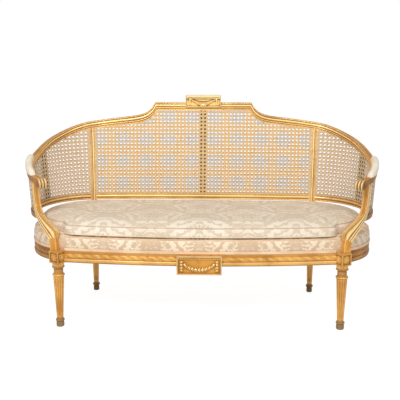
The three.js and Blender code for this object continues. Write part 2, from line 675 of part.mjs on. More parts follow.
// Tongue that runs from inside a rail into the rear leg's block, from its outer or its inner side
function tongueToRearLeg(side, grow) {
  const face = STILE_STATION + side * REAR_BLOCK_REACH;
  const ends = [face - side * (TENON_LENGTH + grow), face + side * OVERRUN].sort((a, b) => a - b);
  return seatTongue(onSeat, ends[0], ends[1], FRAME_DEPTH, grow);
}

const sideRearTongue = (grow) => tongueToRearLeg(1, grow);
const rearTongue = (grow) => tongueToRearLeg(-1, grow);

function makeLegs() {
  const front = join(turnedLeg(FRONT_LEG, FRONT_LEG_X, FRONT_LEG_Y), frontBlock(0));
  const frontCut = cut(front, frontTongue(FIT), sideFrontTongue(FIT), supportPeg(false, FIT));
  pair('front_leg', geometryOf(frontCut), gilt);
  const turnedPart = turnedLeg(REAR_LEG, REAR_LEG_PLACE.x, REAR_LEG_PLACE.y);
  const rear = join(cut(stile(), crestRail(FIT)), turnedPart, rearBlock(0), stileTongue(0));
  const mortises = [sideRearTongue(FIT), rearTongue(FIT), backRailTongue(FIT), sideRailTongue(false, FIT)];
  pair('rear_leg', geometryOf(cut(rear, ...mortises)), gilt);
}

// Moulded section of the seat rails, as shares of depth and height, with a rebate for the webbing inside
const RAIL_FACE_SHARES = [
  [0.9, 0], [1, 0.05], [1, 0.14], [0.92, 0.2], [1, 0.3], [1, 0.42], [0.93, 0.48], [0.93, 0.62],
  [1, 0.72], [1, 0.9], [0.96, 1],
];

function railSection(outer) {
  const inner = outer - RAIL_DEPTH;
  const face = RAIL_FACE_SHARES.map(([out, rise]) => [
    inner + out * RAIL_DEPTH, LEG_HEIGHT + rise * RAIL_HEIGHT,
  ]);
  const [step, ledge] = [inner + WEB_REBATE_WIDTH, RAIL_TOP - WEB_REBATE_DEPTH];
  return [[inner, LEG_HEIGHT], ...face, [step, RAIL_TOP], [step, ledge], [inner, ledge]];
}

const grownRail = (point, stations, outer) => solidOf(bar(point, stations,
  [outer - RAIL_DEPTH - FIT, outer + FIT], [LEG_HEIGHT - FIT, RAIL_TOP + FIT]));
const frontStations = spread(-FRONT_BLOCK_STATION, FRONT_BLOCK_STATION, 18);
const sideStations = spread(STILE_STATION, SIDE_BLOCK_STATION, 15);
const rearStations = spread(-STILE_STATION, STILE_STATION, 10);
const frontRailRoom = () => grownRail(onFront, frontStations, RAIL_DEPTH);

function apronTabletBlock(grow) {
  const half = APRON_TABLET_WIDTH / 2 + grow;
  const low = LEG_HEIGHT - APRON_TABLET_DROP;
  const out = [RAIL_DEPTH - TABLET_HOUSING - grow, RAIL_DEPTH + APRON_TABLET_PROUD + grow];
  return solidOf(bar(onFront, spread(-half, half, 4), out, [low - grow, low + APRON_TABLET_HEIGHT + grow]));
}

function apronTabletField() {
  const half = APRON_TABLET_WIDTH / 2 - TABLET_BORDER;
  const low = LEG_HEIGHT - APRON_TABLET_DROP + TABLET_BORDER;
  const high = low + APRON_TABLET_HEIGHT - 2 * TABLET_BORDER;
  const out = [RAIL_DEPTH + APRON_TABLET_PROUD - TABLET_SINK, RAIL_DEPTH + APRON_TABLET_PROUD + OVERRUN];
  return solidOf(bar(onFront, spread(-half, half, 4), out, [low, high]));
}

function makeSeatRails() {
  const front = solidOf(sweep(onFront, frontStations, () => railSection(RAIL_DEPTH)));
  const frontCut = cut(front, ...twins(frontBlock(FIT)), apronTabletBlock(FIT));
  add('front_seat_rail', screwed(join(frontCut, ...twins(frontTongue(0)))), gilt());
  const rear = solidOf(sweep(onSeat, rearStations, () => railSection(FRAME_DEPTH)));
  const rearCut = cut(rear, ...twins(rearBlock(FIT), stile(FIT)));
  add('rear_seat_rail', screwed(join(rearCut, ...twins(rearTongue(0)))), gilt());
  const side = solidOf(sweep(onSeat, sideStations, () => railSection(FRAME_DEPTH)));
  const sideCut = cut(side, frontBlock(FIT), rearBlock(FIT), stile(FIT), frontRailRoom());
  pair('seat_rail', screwed(join(sideCut, sideFrontTongue(0), sideRearTongue(0))), gilt);
  add('apron_tablet', geometryOf(cut(apronTabletBlock(0), apronTabletField())), gilt());
}

// Cane panels, one layer just inside each face of the back, and the braces between the layers
function canePanel(stations, layer) {
  const near = layer === 'front' ? CANE_SET : FRAME_DEPTH - CANE_SET - CANE_THICKNESS;
  const top = (station) => crestBottom(station) - FIT;
  return bar(onShell, stations, [near, near + CANE_THICKNESS], [LOWER_RAIL_TOP + FIT, top]);
}

// Plain grid of openings that stands for the mesh of the cane, the same through both layers
function caneOpenings(start, columnWidth, end) {
  const rowHeight = (CREST_TOP - CREST_HEIGHT - LOWER_RAIL_TOP) / CANE_ROWS;
  const [half, tall] = [columnWidth, rowHeight].map((size) => (size * CANE_OPEN_SHARE) / 2);
  const openings = [];
  for (let middle = start + columnWidth / 2; middle + half + CANE_MARGIN < end; middle += columnWidth) {
    for (let row = 0; row < CANE_ROWS; row += 1) {
      const z = LOWER_RAIL_TOP + (row + 0.5) * rowHeight;
      if (z + tall + CANE_MARGIN < crestBottom(Math.abs(middle) + half)) {
        const out = [-OVERRUN, FRAME_DEPTH + OVERRUN];
        openings.push(solidOf(bar(onShell, [middle - half, middle + half], out, [z - tall, z + tall])));
      }
    }
  }
  return openings;
}

// Height just inside the crest rail or arm rail, where a piece is then trimmed to their underside
const crestOver = (station) => crestBottom(station) + OVERRUN;
const underCrest = (geometry) => geometryOf(cut(solidOf(geometry), crestRail(FIT), ...twins(armRail(FIT))));

function makeCane() {
  const half = stileEdge(-1, FIT);
  const centre = crestStations().filter((station) => Math.abs(station) <= half);
  const panelEnd = stationAt(SUPPORT_ANGLE) - SUPPORT_WIDTH / 2 - 2 * FIT;
  const beyond = crestStations().filter((station) => station >= stileEdge(1, FIT));
  const sides = [...beyond, ...armStations().filter((station) => station < panelEnd), panelEnd];
  const centreOpenings = caneOpenings(-half, (2 * half) / CANE_COLUMNS, half);
  const start = stileEdge(1, FIT);
  const sideOpenings = caneOpenings(start, (stationAt(BRACE_ANGLE) - start) / CANE_COLUMNS_TO_BRACE, panelEnd);
  for (const layer of ['front', 'rear']) {
    const middle = cut(solidOf(canePanel(centre, layer)), ...centreOpenings);
    add(`${layer}_cane_centre`, geometryOf(middle), cane());
    const panel = geometryOf(cut(solidOf(canePanel(sides, layer)), ...sideOpenings));
    add(`${layer}_cane_right`, panel, cane());
    add(`${layer}_cane_left`, mirrored(panel), cane());
  }
  const gap = CANE_SET + CANE_THICKNESS + BRACE_CLEARANCE;
  const brace = (middle) => {
    const across = spread(middle - BRACE_WIDTH / 2, middle + BRACE_WIDTH / 2, 2);
    return underCrest(bar(onShell, across, [gap, FRAME_DEPTH - gap], [LOWER_RAIL_TOP + FIT, crestOver]));
  };
  add('centre_brace', brace(0), beech());
  pair('side_brace', brace(stationAt(BRACE_ANGLE)), beech);
}

// Upholstered pads on the arms: crowned, with their ends drawn in
const PAD_SECTION_SHARES = [
  [-0.36, 0], [0.36, 0], [0.5, 0.35], [0.45, 0.72], [0.22, 0.96], [-0.22, 0.96], [-0.45, 0.72], [-0.5, 0.35],
];
const PAD_SWELL_SHARES = [0.45, 0.76, 0.95, 1, 1, 1, 1, 1, 1, 1, 0.95, 0.76, 0.45];

function makeArmPads() {
  const stations = spread(stationAt(PAD_REAR_ANGLE), stationAt(PAD_FRONT_ANGLE), PAD_SWELL_SHARES.length - 1);
  const rings = stations.map((station, k) => {
    const swell = PAD_SWELL_SHARES[k];
    const width = PAD_WIDTH - PAD_TAPER * (1 - swell);
    return PAD_SECTION_SHARES.map(([across, rise]) => onShell(
      station, FRAME_DEPTH / 2 + across * width, crestTop(station) + rise * PAD_HEIGHT * swell));
  });
  pair('armrest_pad', geometryOf(cut(solidOf(skin(rings)), armRail(FIT))), plainSilk);
}

// Outline of the seat frame seen from above, drawn in by a distance, as a closed list of points
function frameOutline(inset) {
  const right = spread(0, SIDE_BLOCK_STATION, 24).map((station) => onSeat(station, FRAME_DEPTH - inset, 0));
  const ends = [FRONT_BLOCK_STATION, -FRONT_BLOCK_STATION];
  const front = spread(...ends, 20).map((station) => onFront(station, RAIL_DEPTH - inset, 0));
  const corner = right.filter(({ x, y }) => y > frontEdge(x, inset) + OVERRUN);
  const reach = corner[corner.length - 1].x - OVERRUN;
  const left = corner.slice(1).map(({ x, y }) => new THREE.Vector3(-x, y, 0)).reverse();
  return [...corner, ...front.filter(({ x }) => Math.abs(x) < reach), ...left];
}

const frontEdge = (x, inset) => FRONT_CENTRE_Y - Math.sqrt((FRONT_RADIUS - inset) ** 2 - x * x);

const slab = (outline, low, high) => skin([low, high].map((z) => outline.map((p) => p.clone().setZ(z))));

// Fixed seat: straight sides that bulge a little, and a soft upper edge
const SEAT_SLICE_SHARES = [
  [0, 0], [0.12, -0.6], [0.45, -1], [0.7, -0.6], [0.86, 0.125], [0.96, 0.5], [1, 1],
];

function makeSeatUpholstery() {
  const rings = SEAT_SLICE_SHARES.map(([rise, inward]) => {
    const inset = SEAT_SET_IN + inward * (inward > 0 ? SEAT_SOFTNESS : SEAT_BULGE);
    return frameOutline(inset).map((p) => p.clone().setZ(RAIL_TOP + FIT + rise * (SEAT_PAD_HEIGHT - FIT)));
  });
  const count = Math.min(...rings.map((ring) => ring.length));
  const even = rings.map((ring) => evened(ring, count));
  const uprights = twins(stile(2 * FIT), armSupport(3 * FIT));
  add('seat_upholstery', geometryOf(cut(solidOf(skin(even)), ...uprights)), damask());
}

// Spaces a closed outline's points evenly, starting behind the middle of the sofa
function evened(points, count) {
  const lengths = points.map((point, k) => point.distanceTo(points[(k + 1) % points.length]));
  const total = lengths.reduce((sum, length) => sum + length, 0);
  const result = [];
  let [k, passed] = [0, 0];
  for (let n = 0; n < count; n += 1) {
    const goal = (total * n) / count;
    while (passed + lengths[k] < goal) {
      passed += lengths[k];
      k += 1;
    }
    result.push(points[k].clone().lerp(points[(k + 1) % points.length], (goal - passed) / lengths[k]));
  }
  return result;
}

// Outline of the loose cushion: flush with the front and drawn in round the arm supports
const CUSHION_END_RADIUS = SHELL_END_RADIUS - CUSHION_END_GAP;
const CUSHION_FRONT_HALF = FRONT_LEG_X - CUSHION_LEG_GAP;
const CUSHION_NOTCH = ACANTHUS_WIDTH / 2 + CUSHION_NOTCH_GAP;

function cushionOutline() {
  const place = (x, y) => new THREE.Vector3(x, y, 0);
  const base = supportPlaces()[2];
  const support = onShell(stationAt(base.angle), base.out, 0).setZ(0);
  const front = spread(0, CUSHION_FRONT_HALF - CUSHION_RIM / 4, 10).map((x) => place(x, frontEdge(x, 0)));
  const onArc = (angle) => place(
    END_CENTRE_X + CUSHION_END_RADIUS * Math.cos(angle), CUSHION_END_RADIUS * Math.sin(angle));
  const turns = spread((FRONT_LEG_ANGLE + SUPPORT_ANGLE) / 2, CUSHION_ROUND_ANGLE, 12);
  const arc = turns.map((turn) => onArc(radians(turn)));
  const corner = place(CUSHION_FRONT_HALF, frontEdge(CUSHION_FRONT_HALF, 0) + CUSHION_RIM / 4);
  const flank = steps(8).slice(0, -1).map((share) => corner.clone().lerp(arc[0], share));
  const behind = spread(stationAt(CUSHION_BACK_ANGLE), 0, 8);
  const back = behind.map((station) => onShell(station, -CUSHION_BACK_GAP, SEAT_TOP).setZ(0));
  const right = [...[...front, ...flank, ...arc].map((point) => notched(point, support)), ...back];
  const left = right.slice(1, -1).map(({ x, y }) => new THREE.Vector3(-x, y, 0)).reverse();
  return evened([...right, ...left], 64);
}

// Moves a point that lies too near the arm support straight away from it
function notched(point, support) {
  const apart = point.clone().sub(support);
  return apart.length() < CUSHION_NOTCH ? support.clone().add(apart.setLength(CUSHION_NOTCH)) : point;
}

// Draws a closed outline in by a distance square to its edges
function drawnIn(points, inset) {
  return points.map((point, k) => {
    const before = points[(k + points.length - 1) % points.length];
    const after = points[(k + 1) % points.length];
    const along = after.clone().sub(before).normalize();
    return new THREE.Vector3(point.x - along.y * inset, point.y + along.x * inset, 0);
  });
}

const CUSHION_SIDE_SHARES = [[0, 1], [0.08, 0.2], [0.28, 0], [0.5, 0.35], [0.72, 0], [0.92, 0.2], [1, 1]];
const CUSHION_CROWN_SHARES = [[0.97, 0.3], [0.86, 0.7], [0.55, 0.95]];

// Cushion with drawn-in sides and a crown
function makeCushion() {
  const outline = cushionOutline();
  const floor = SEAT_TOP + FIT;
  const rings = CUSHION_SIDE_SHARES.map(([rise, draw]) => drawnIn(outline, draw * CUSHION_DRAW)
    .map((p) => p.setZ(floor + rise * CUSHION_RIM)));
  const top = rings[rings.length - 1];
  const middle = top.reduce((sum, p) => sum.add(p), new THREE.Vector3()).divideScalar(top.length);
  for (const [scale, rise] of CUSHION_CROWN_SHARES) {
    rings.push(top.map((p) => new THREE.Vector3(middle.x + (p.x - middle.x) * scale,
      middle.y + (p.y - middle.y) * scale, floor + CUSHION_RIM + rise * CUSHION_CROWN)));
  }
  add('seat_cushion', skin(rings), damask());
}

// Gimp braid along the foot of the fixed seat
function makeGimp() {
  const proud = SEAT_SET_IN - SEAT_BULGE - FIT;
  const [low, high] = [RAIL_TOP + FIT, RAIL_TOP + FIT + GIMP_HEIGHT];
  const supportReach = ACANTHUS_WIDTH / 2 + 2 * FIT;
  const frontHalf = FRONT_BLOCK_STATION - supportReach - GIMP_THICKNESS;
  const out = (outer) => [outer - proud, outer - proud + GIMP_THICKNESS];
  add('front_gimp', bar(onFront, spread(-frontHalf, frontHalf, 24), out(RAIL_DEPTH), [low, high]), braid());
  const stileReach = STILE_WIDTH / 2 + 2 * FIT;
  const sides = spread(STILE_STATION + stileReach, SIDE_BLOCK_STATION - supportReach, 20);
  const side = cut(solidOf(bar(onSeat, sides, out(FRAME_DEPTH), [low, high])), armSupport(FIT));
  pair('gimp', geometryOf(side), braid);
  const rearHalf = STILE_STATION - stileReach;
  add('rear_gimp', bar(onSeat, spread(-rearHalf, rearHalf, 14), out(FRAME_DEPTH), [low, high]), braid());
}

// Webbing and hessian, stretched in the rebate of the seat rails
function makeSeatBase() {
  const inset = RAIL_DEPTH - WEB_REBATE_WIDTH + WEB_CLEARANCE;
  const posts = twins(frontBlock(FIT), rearBlock(FIT), stile(FIT), armSupport(FIT));
  const webLow = RAIL_TOP - WEB_REBATE_DEPTH + FIT;
  const field = solidOf(slab(frameOutline(inset), webLow, webLow + WEB_THICKNESS));
  const box = new THREE.Box3().setFromObject(new THREE.Mesh(geometryOf(field)));
  const size = box.getSize(new THREE.Vector3());
  const strap = (along, across, x, y) => {
    const shape = new THREE.BoxGeometry(along, across, WEB_THICKNESS);
    shape.translate(x, y, webLow + WEB_THICKNESS / 2);
    return solidOf(shape);
  };
  const places = (length) => {
    const count = Math.max(1, Math.floor((length - WEB_WIDTH) / WEB_PITCH));
    return spread((-count * WEB_PITCH) / 2, (count * WEB_PITCH) / 2, count);
  };
  const middleY = (box.min.y + box.max.y) / 2;
  const straps = [
    ...places(size.x).map((x) => strap(WEB_WIDTH, size.y, x, middleY)),
    ...places(size.y).map((y) => strap(size.x, WEB_WIDTH, 0, middleY + y)),
  ];
  const lattice = cut(join(...straps).intersect(field), ...posts);
  add('seat_webbing', geometryOf(lattice), jute());
  const sheetLow = webLow + WEB_THICKNESS + FIT;
  const sheet = solidOf(slab(frameOutline(inset), sheetLow, sheetLow + HESSIAN_THICKNESS));
  add('seat_hessian', geometryOf(cut(sheet, ...posts)), hessian());
}

// Room that the seat frame takes from the pieces fitted inside it
function frameCutters() {
  const side = grownRail(onSeat, sideStations, FRAME_DEPTH);
  const both = twins(side, frontBlock(FIT), rearBlock(FIT), stile(FIT));
  return [...both, frontRailRoom(), grownRail(onSeat, rearStations, FRAME_DEPTH)];
}

const CORNERS = [
  { name: 'front', side: -1, leg: new THREE.Vector3(FRONT_LEG_X, FRONT_LEG_Y, 0), reach: RAIL_DEPTH },
  { name: 'rear', side: 1, leg: REAR_LEG_PLACE, reach: RAIL_DEPTH / 2 },
];

// Middle of a corner block, set inside the frame beside a leg
function insideCorner({ side, leg, reach }) {
  const inward = reach + CORNER_BLOCK_SIZE / 4;
  const height = RAIL_TOP - CORNER_BLOCK_DROP - CORNER_BLOCK_HEIGHT / 2;
  return new THREE.Vector3(leg.x - inward * CORNER_BLOCK_INWARD_SHARE, leg.y - side * inward, height);
}

// Screws run square to the rails: one towards the front or rear rail, one towards the side rail
function screwPlaces() {
  return CORNERS.flatMap((corner) => {
    const { name, side } = corner;
    const centre = insideCorner(corner);
    const first = centre.clone().setX(centre.x - SCREW_INSET);
    const second = centre.clone().setY(centre.y - side * SCREW_INSET);
    return [
      { name: `${name}_long`, from: first, heading: new THREE.Vector3(0, side, 0) },
      { name: `${name}_side`, from: second, heading: new THREE.Vector3(1, 0, 0) },
    ];
  });
}

// Screw with its head behind the starting point; the head may run on as a cutter
function screw({ from, heading }, grow, headRun) {
  const rod = (radius, length, sides) => (
    new THREE.CylinderGeometry(radius + grow, radius + grow, length, sides));
  const head = rod(SCREW_HEAD_RADIUS, SCREW_HEAD_HEIGHT + headRun, 8);
  head.translate(0, grow - (SCREW_HEAD_HEIGHT + headRun) / 2, 0);
  const shank = rod(SCREW_RADIUS, SCREW_LENGTH + 2 * grow, 6);
  shank.translate(0, SCREW_LENGTH / 2, 0);
  const geometry = geometryOf(join(solidOf(head), solidOf(shank)));
  geometry.applyQuaternion(new THREE.Quaternion().setFromUnitVectors(new THREE.Vector3(0, 1, 0), heading));
  geometry.translate(from.x, from.y, from.z);
  return geometry;
}

function screwHoles() {
  return twins(...screwPlaces().map((place) => solidOf(screw(place, FIT, CORNER_BLOCK_SIZE))));
}

function screwed(solid) {
  return geometryOf(cut(solid, ...screwHoles()));
}

// Corner blocks with their screws, and the cross rails
function makeSeatBraces() {
  const cutters = frameCutters();
  for (const corner of CORNERS) {
    const shape = new THREE.BoxGeometry(CORNER_BLOCK_SIZE, CORNER_BLOCK_SIZE, CORNER_BLOCK_HEIGHT);
    shape.rotateZ(Math.PI / 4);
    shape.translate(...insideCorner(corner).toArray());
    pair(`${corner.name}_corner_block`, screwed(cut(solidOf(shape), ...cutters)), beech);
  }
  for (const place of screwPlaces()) {
    pair(`${place.name}_screw`, screw(place, 0, 0), steel);
  }
  const front = onFront(CROSS_RAIL_X, RAIL_DEPTH / 2, 0).y;
  const rear = onSeat(CROSS_RAIL_X, FRAME_DEPTH - RAIL_DEPTH / 2, 0).y;
  const shape = new THREE.BoxGeometry(CROSS_RAIL_WIDTH, rear - front, CROSS_RAIL_HEIGHT);
  shape.translate(CROSS_RAIL_X, (front + rear) / 2, RAIL_TOP - CROSS_RAIL_DROP - CROSS_RAIL_HEIGHT / 2);
  pair('cross_rail', geometryOf(cut(solidOf(shape), ...cutters)), beech);
}

makeLegs();
makeSeatRails();
makeCrest();
makeArms();
makeLowerRails();
makeCane();
makeArmPads();
makeSeatUpholstery();
makeCushion();
makeGimp();
makeSeatBase();
makeSeatBraces();

// The origin lies on the floor under the middle of the sofa's box
const extent = new THREE.Box3().setFromObject(sofa);
sofa.position.y = -(extent.min.y + extent.max.y) / 2;

export default sofa;
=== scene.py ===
"""Cabriole sofa: carved and gilded beech frame, a back caned on both faces, a fixed seat and a loose cushion."""

import math

import bmesh
import bpy
import numpy as np
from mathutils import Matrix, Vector
from mathutils.kdtree import KDTree


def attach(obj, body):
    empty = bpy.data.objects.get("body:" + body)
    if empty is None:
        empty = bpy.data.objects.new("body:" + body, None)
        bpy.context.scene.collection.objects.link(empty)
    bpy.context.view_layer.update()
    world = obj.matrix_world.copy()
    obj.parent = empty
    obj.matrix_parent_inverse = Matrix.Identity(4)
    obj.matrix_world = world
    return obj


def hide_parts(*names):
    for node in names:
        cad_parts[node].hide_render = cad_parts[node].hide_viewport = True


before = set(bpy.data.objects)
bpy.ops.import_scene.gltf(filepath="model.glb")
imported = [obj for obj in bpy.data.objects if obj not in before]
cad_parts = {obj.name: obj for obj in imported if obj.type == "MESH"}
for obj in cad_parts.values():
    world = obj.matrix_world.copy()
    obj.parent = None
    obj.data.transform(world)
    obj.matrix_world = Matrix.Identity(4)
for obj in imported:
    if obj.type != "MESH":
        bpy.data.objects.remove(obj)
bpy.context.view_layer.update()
pi = math.pi

# ---------------------------------------------------------------- the sofa's own lines, in millimetres
# The round ends of the plan have their centres at END_X, and Y_SHIFT brings the plan into the shared frame. The back
# leans by its rakes about the height DATUM. The joints are how far off the middle of a stile or block a rail ends.
Y_SHIFT, DATUM = -21.8, 490.5
END_X, END_RADIUS, BACK_BOW = 505.0, 260.0, 16.0
DEPTH, RAIL_DEPTH, FRONT_BOW = 32.0, 34.0, 50.0
BACK_RAKE, SIDE_RAKE = 0.155, 0.06
RAIL_LOW, RAIL_TOP, SEAT_FOOT, SEAT_TOP = 297.6, 352.0, 352.3, 425.0
LOWER_LOW, LOWER_TOP = 474.0, 507.0
STILE_JOINT, BLOCK_JOINT = 14.3, 27.0

BACK_DEPTH = END_RADIUS + BACK_BOW
BACK_RADIUS = (END_X ** 2 + BACK_DEPTH ** 2 - END_RADIUS ** 2) / (2 * (BACK_DEPTH - END_RADIUS))
BACK_Y = BACK_DEPTH - BACK_RADIUS
MEETING = math.atan2(-BACK_Y, END_X)
BACK_LENGTH = BACK_RADIUS * (pi / 2 - MEETING)


def station_at(degrees):
    """Length along the back's inner face, from its middle, to an angle on the round end."""
    return BACK_LENGTH + END_RADIUS * (MEETING - math.radians(degrees))


STILE = station_at(80.5)
CREST_JOINT = station_at(73)
SUPPORT = station_at(-33)
ARM_END = station_at(-51.5)


def plan(s):
    """Place, outward direction and rake at a length along the inner face, which is negative on the left."""
    s = np.asarray(s, float)
    side, along = np.where(s < 0, -1.0, 1.0), np.abs(s)
    back = along < BACK_LENGTH
    angle = np.where(back, pi / 2 - along / BACK_RADIUS, MEETING - (along - BACK_LENGTH) / END_RADIUS)
    nx, ny = np.cos(angle), np.sin(angle)
    x = np.where(back, BACK_RADIUS * nx, END_X + END_RADIUS * nx)
    y = np.where(back, BACK_Y + BACK_RADIUS * ny, END_RADIUS * ny)
    rake = SIDE_RAKE + (BACK_RAKE - SIDE_RAKE) * np.maximum(0, ny) ** 2
    return side * x, y, side * nx, ny, rake


def points(x, y, z):
    return np.stack(np.broadcast_arrays(x, y, z), -1).astype(float)


def on_shell(s, out, z):
    """Point of the raked back: out is the distance behind its inner face."""
    x, y, nx, ny, rake = plan(s)
    reach = out + rake * (np.asarray(z, float) - DATUM)
    return points(x + reach * nx, y + reach * ny, z)


def on_seat(s, out, z):
    """Point of the upright seat frame, which follows the back's plan at the level of the rails."""
    x, y, nx, ny, rake = plan(s)
    reach = out + rake * (RAIL_TOP - DATUM)
    return points(x + reach * nx, y + reach * ny, z)


LEG_REACH = float(on_seat(station_at(0), DEPTH, 0)[0]) - END_X + 10
LEG_X = END_X + LEG_REACH * math.cos(math.radians(-65.4))
LEG_Y = LEG_REACH * math.sin(math.radians(-65.4))
FRONT_RADIUS = (LEG_X ** 2 + FRONT_BOW ** 2) / (2 * FRONT_BOW)
FRONT_Y = LEG_Y - FRONT_BOW + FRONT_RADIUS
FRONT_BLOCK = FRONT_RADIUS * math.asin(LEG_X / FRONT_RADIUS)
SIDE_BLOCK = station_at(-65.4)
REAR_LEG = on_seat(STILE, DEPTH / 2, 0)


def on_front(s, out, z):
    """Point of the bowed front rail: out is the distance ahead of its inner face."""
    angle = np.asarray(s, float) / FRONT_RADIUS
    radius = FRONT_RADIUS - RAIL_DEPTH + out
    return points(radius * np.sin(angle), FRONT_Y - radius * np.cos(angle), z)


def front_edge(x, inset):
    """How far forward the front rail's face lies, drawn in by an inset."""
    return FRONT_Y - np.sqrt((FRONT_RADIUS - inset) ** 2 - np.asarray(x, float) ** 2)


def line_through(pairs):
    """Smooth curve through (station, height) pairs that never overshoots them."""
    at, height = np.array(pairs, float).T
    slope = np.diff(height) / np.diff(at)
    before, after = np.r_[slope[0], slope], np.r_[slope, slope[-1]]
    safe = np.where(before * after > 0, before + after, 1)
    tangent = np.where(before * after > 0, 2 * before * after / safe, 0)

    def value(s):
        s = np.asarray(s, float)
        k = np.clip(np.searchsorted(at, s) - 1, 0, len(slope) - 1)
        width = at[k + 1] - at[k]
        u = (s - at[k]) / width
        rise = height[k] + (height[k + 1] - height[k]) * u * u * (3 - 2 * u)
        return rise + width * (tangent[k] * u * (1 - u) ** 2 - tangent[k + 1] * u * u * (1 - u))
    return value


CREST_TOP, CREST_HALF, SHOULDER, SWEEP, SLIP = 955.0, 240.0, 898.0, 28.0, 16.0
shoulder_line = line_through([
    (CREST_HALF, SHOULDER), (STILE, 862), (station_at(45), 803), (station_at(15), 738),
    (station_at(-8), 702), (SUPPORT, 668), (ARM_END, 664)])
rail_height = line_through([
    (CREST_HALF, 40), (station_at(45), 36.5), (station_at(15), 33), (SUPPORT, 33), (ARM_END, 42)])


def crest_top(s):
    """Height of the rail's upper edge: level in the middle, then a swept step down to the shoulder's line."""
    along = np.abs(np.asarray(s, float))
    beyond = np.maximum(along, CREST_HALF)
    swept = (CREST_TOP - SHOULDER) * np.exp((CREST_HALF - beyond) / SWEEP)
    return np.where(along <= CREST_HALF, CREST_TOP, shoulder_line(beyond) + swept)


def crest_height(s):
    return rail_height(np.maximum(np.abs(s), CREST_HALF))


def crest_bottom(s):
    along = np.abs(np.asarray(s, float))
    slip = np.maximum(0, SLIP * (1 - along / STILE))
    return crest_top(along + slip) - crest_height(along)


# ---------------------------------------------------------------- making of meshes
def read(mesh, what="co"):
    """Every point of a mesh, or every normal, in rows of three."""
    values = np.zeros(len(mesh.vertices) * 3, np.float32)
    mesh.vertices.foreach_get(what, values)
    return values.reshape(-1, 3).astype(float)


def write(mesh, place):
    mesh.vertices.foreach_set("co", place.astype(np.float32).ravel())


def store(mesh, name, value):
    """Keeps one number at each point, for the materials to read."""
    mesh.attributes.new(name, "FLOAT", "POINT").data.foreach_set("value", value.astype(np.float32))


def welded(bm, capped=True):
    """Joins points that meet, closes what is left open and turns every face outwards."""
    bmesh.ops.remove_doubles(bm, verts=bm.verts, dist=1e-6)
    edges = [edge for edge in bm.edges if edge.is_boundary]
    if capped and edges:
        bmesh.ops.holes_fill(bm, edges=edges, sides=0)
    bmesh.ops.recalc_face_normals(bm, faces=bm.faces)


class Work:
    """A piece in the making. Skins of points, in millimetres, are gathered into one mesh."""

    def __init__(self):
        self.bm = bmesh.new()

    def skin(self, rings, closed=True, capped=True, tone=0.0):
        """Grid drawn over rings of points: an array of rings, points and coordinates. The tone, from -1 to 1,
        says where shade is painted into a groove, below 0, and a highlight painted onto a bead, above 0."""
        rings = np.asarray(rings, float)
        tone = np.broadcast_to(tone, rings.shape[:2])
        if closed:
            rings = np.concatenate([rings, rings[:, :1]], 1)
            tone = np.concatenate([tone, tone[:, :1]], 1)
        rows, columns = rings.shape[:2]
        grid = bmesh.new()
        bmesh.ops.create_grid(grid, x_segments=columns - 1, y_segments=rows - 1, size=1)
        mesh = bpy.data.meshes.new("skin")
        grid.to_mesh(mesh)
        grid.free()
        place = read(mesh)
        across = np.rint((place[:, 0] + 1) / 2 * (columns - 1)).astype(int)
        down = np.rint((place[:, 1] + 1) / 2 * (rows - 1)).astype(int)
        write(mesh, (rings[down, across] + (0, Y_SHIFT, 0)) / 1000)
        store(mesh, "tone", tone[down, across])
        part = bmesh.new()
        part.from_mesh(mesh)
        welded(part, capped)
        part.to_mesh(mesh)
        part.free()
        self.bm.from_mesh(mesh)
        bpy.data.meshes.remove(mesh)
        return self

    def mirrored(self):
        other = Work()
        other.bm = self.bm.copy()
        bmesh.ops.scale(other.bm, vec=(-1, 1, 1), verts=other.bm.verts)
        bmesh.ops.reverse_faces(other.bm, faces=other.bm.faces)
        return other

    def piece(self, name, finish, slot, replaced=(), body="frame", crease=38, relief=0, shell=False):
        mesh = bpy.data.meshes.new(name)
        self.bm.to_mesh(mesh)
        self.bm.free()
        mesh.polygons.foreach_set("use_smooth", [True] * len(mesh.polygons))
        mesh.set_sharp_from_angle(angle=math.radians(crease))
        if relief:
            mark_painted_light(mesh, relief, shell)
        obj = bpy.data.objects.new(name, mesh)
        bpy.context.scene.collection.objects.link(obj)
        mesh.materials.append(finish)
        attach(obj, body)
        if replaced:
            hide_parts(*replaced)
        return obj

    def pair(self, name, finish, slot, node, **how):
        """What was made is the right one of two pieces. The left one is its mirror image."""
        return [work.piece(f"{side}_{name}", finish, slot, [f"{side}_{node}"], **how)
                for side, work in (("left", self.mirrored()), ("right", self))]


def mark_painted_light(mesh, rounds, shell):
    """Stores how far each point stands above (+) or below (-) the surface around it, in millimetres, which paints
    highlights and shade, and a mask that is painted shade where it faces away from the seat and darker brown where it
    faces up."""
    place, normal = read(mesh) * 1000, read(mesh, "normal")
    count = len(place)
    ends = np.zeros(len(mesh.edges) * 2, np.int32)
    mesh.edges.foreach_get("vertices", ends)
    a, b = ends.reshape(-1, 2).T
    near = np.maximum(np.bincount(a, minlength=count) + np.bincount(b, minlength=count), 1)
    eased = place.copy()
    for _ in range(rounds):
        mean = np.stack([np.bincount(a, eased[b, k], count) + np.bincount(b, eased[a, k], count)
                         for k in range(3)], 1) / near[:, None]
        eased = 0.4 * eased + 0.6 * mean
    height = ((place - eased) * normal).sum(1)
    x, y = np.abs(place[:, 0]), place[:, 1] - Y_SHIFT
    end = np.arctan2(y, x - END_X) < MEETING
    away = unit(np.stack([np.where(end, x - END_X, x), np.where(end, y, y - BACK_Y)], 1))
    facing = normal[:, 0] * np.sign(place[:, 0]) * away[:, 0] + normal[:, 1] * away[:, 1]
    # Painted shade where a face turns away from the seat, and darker brown where it faces up
    behind = np.maximum(smoothstep(0.1, 0.7, facing), 0.55 * smoothstep(0.5, 0.95, normal[:, 2])) * shell
    store(mesh, "relief", height)
    store(mesh, "behind", behind)


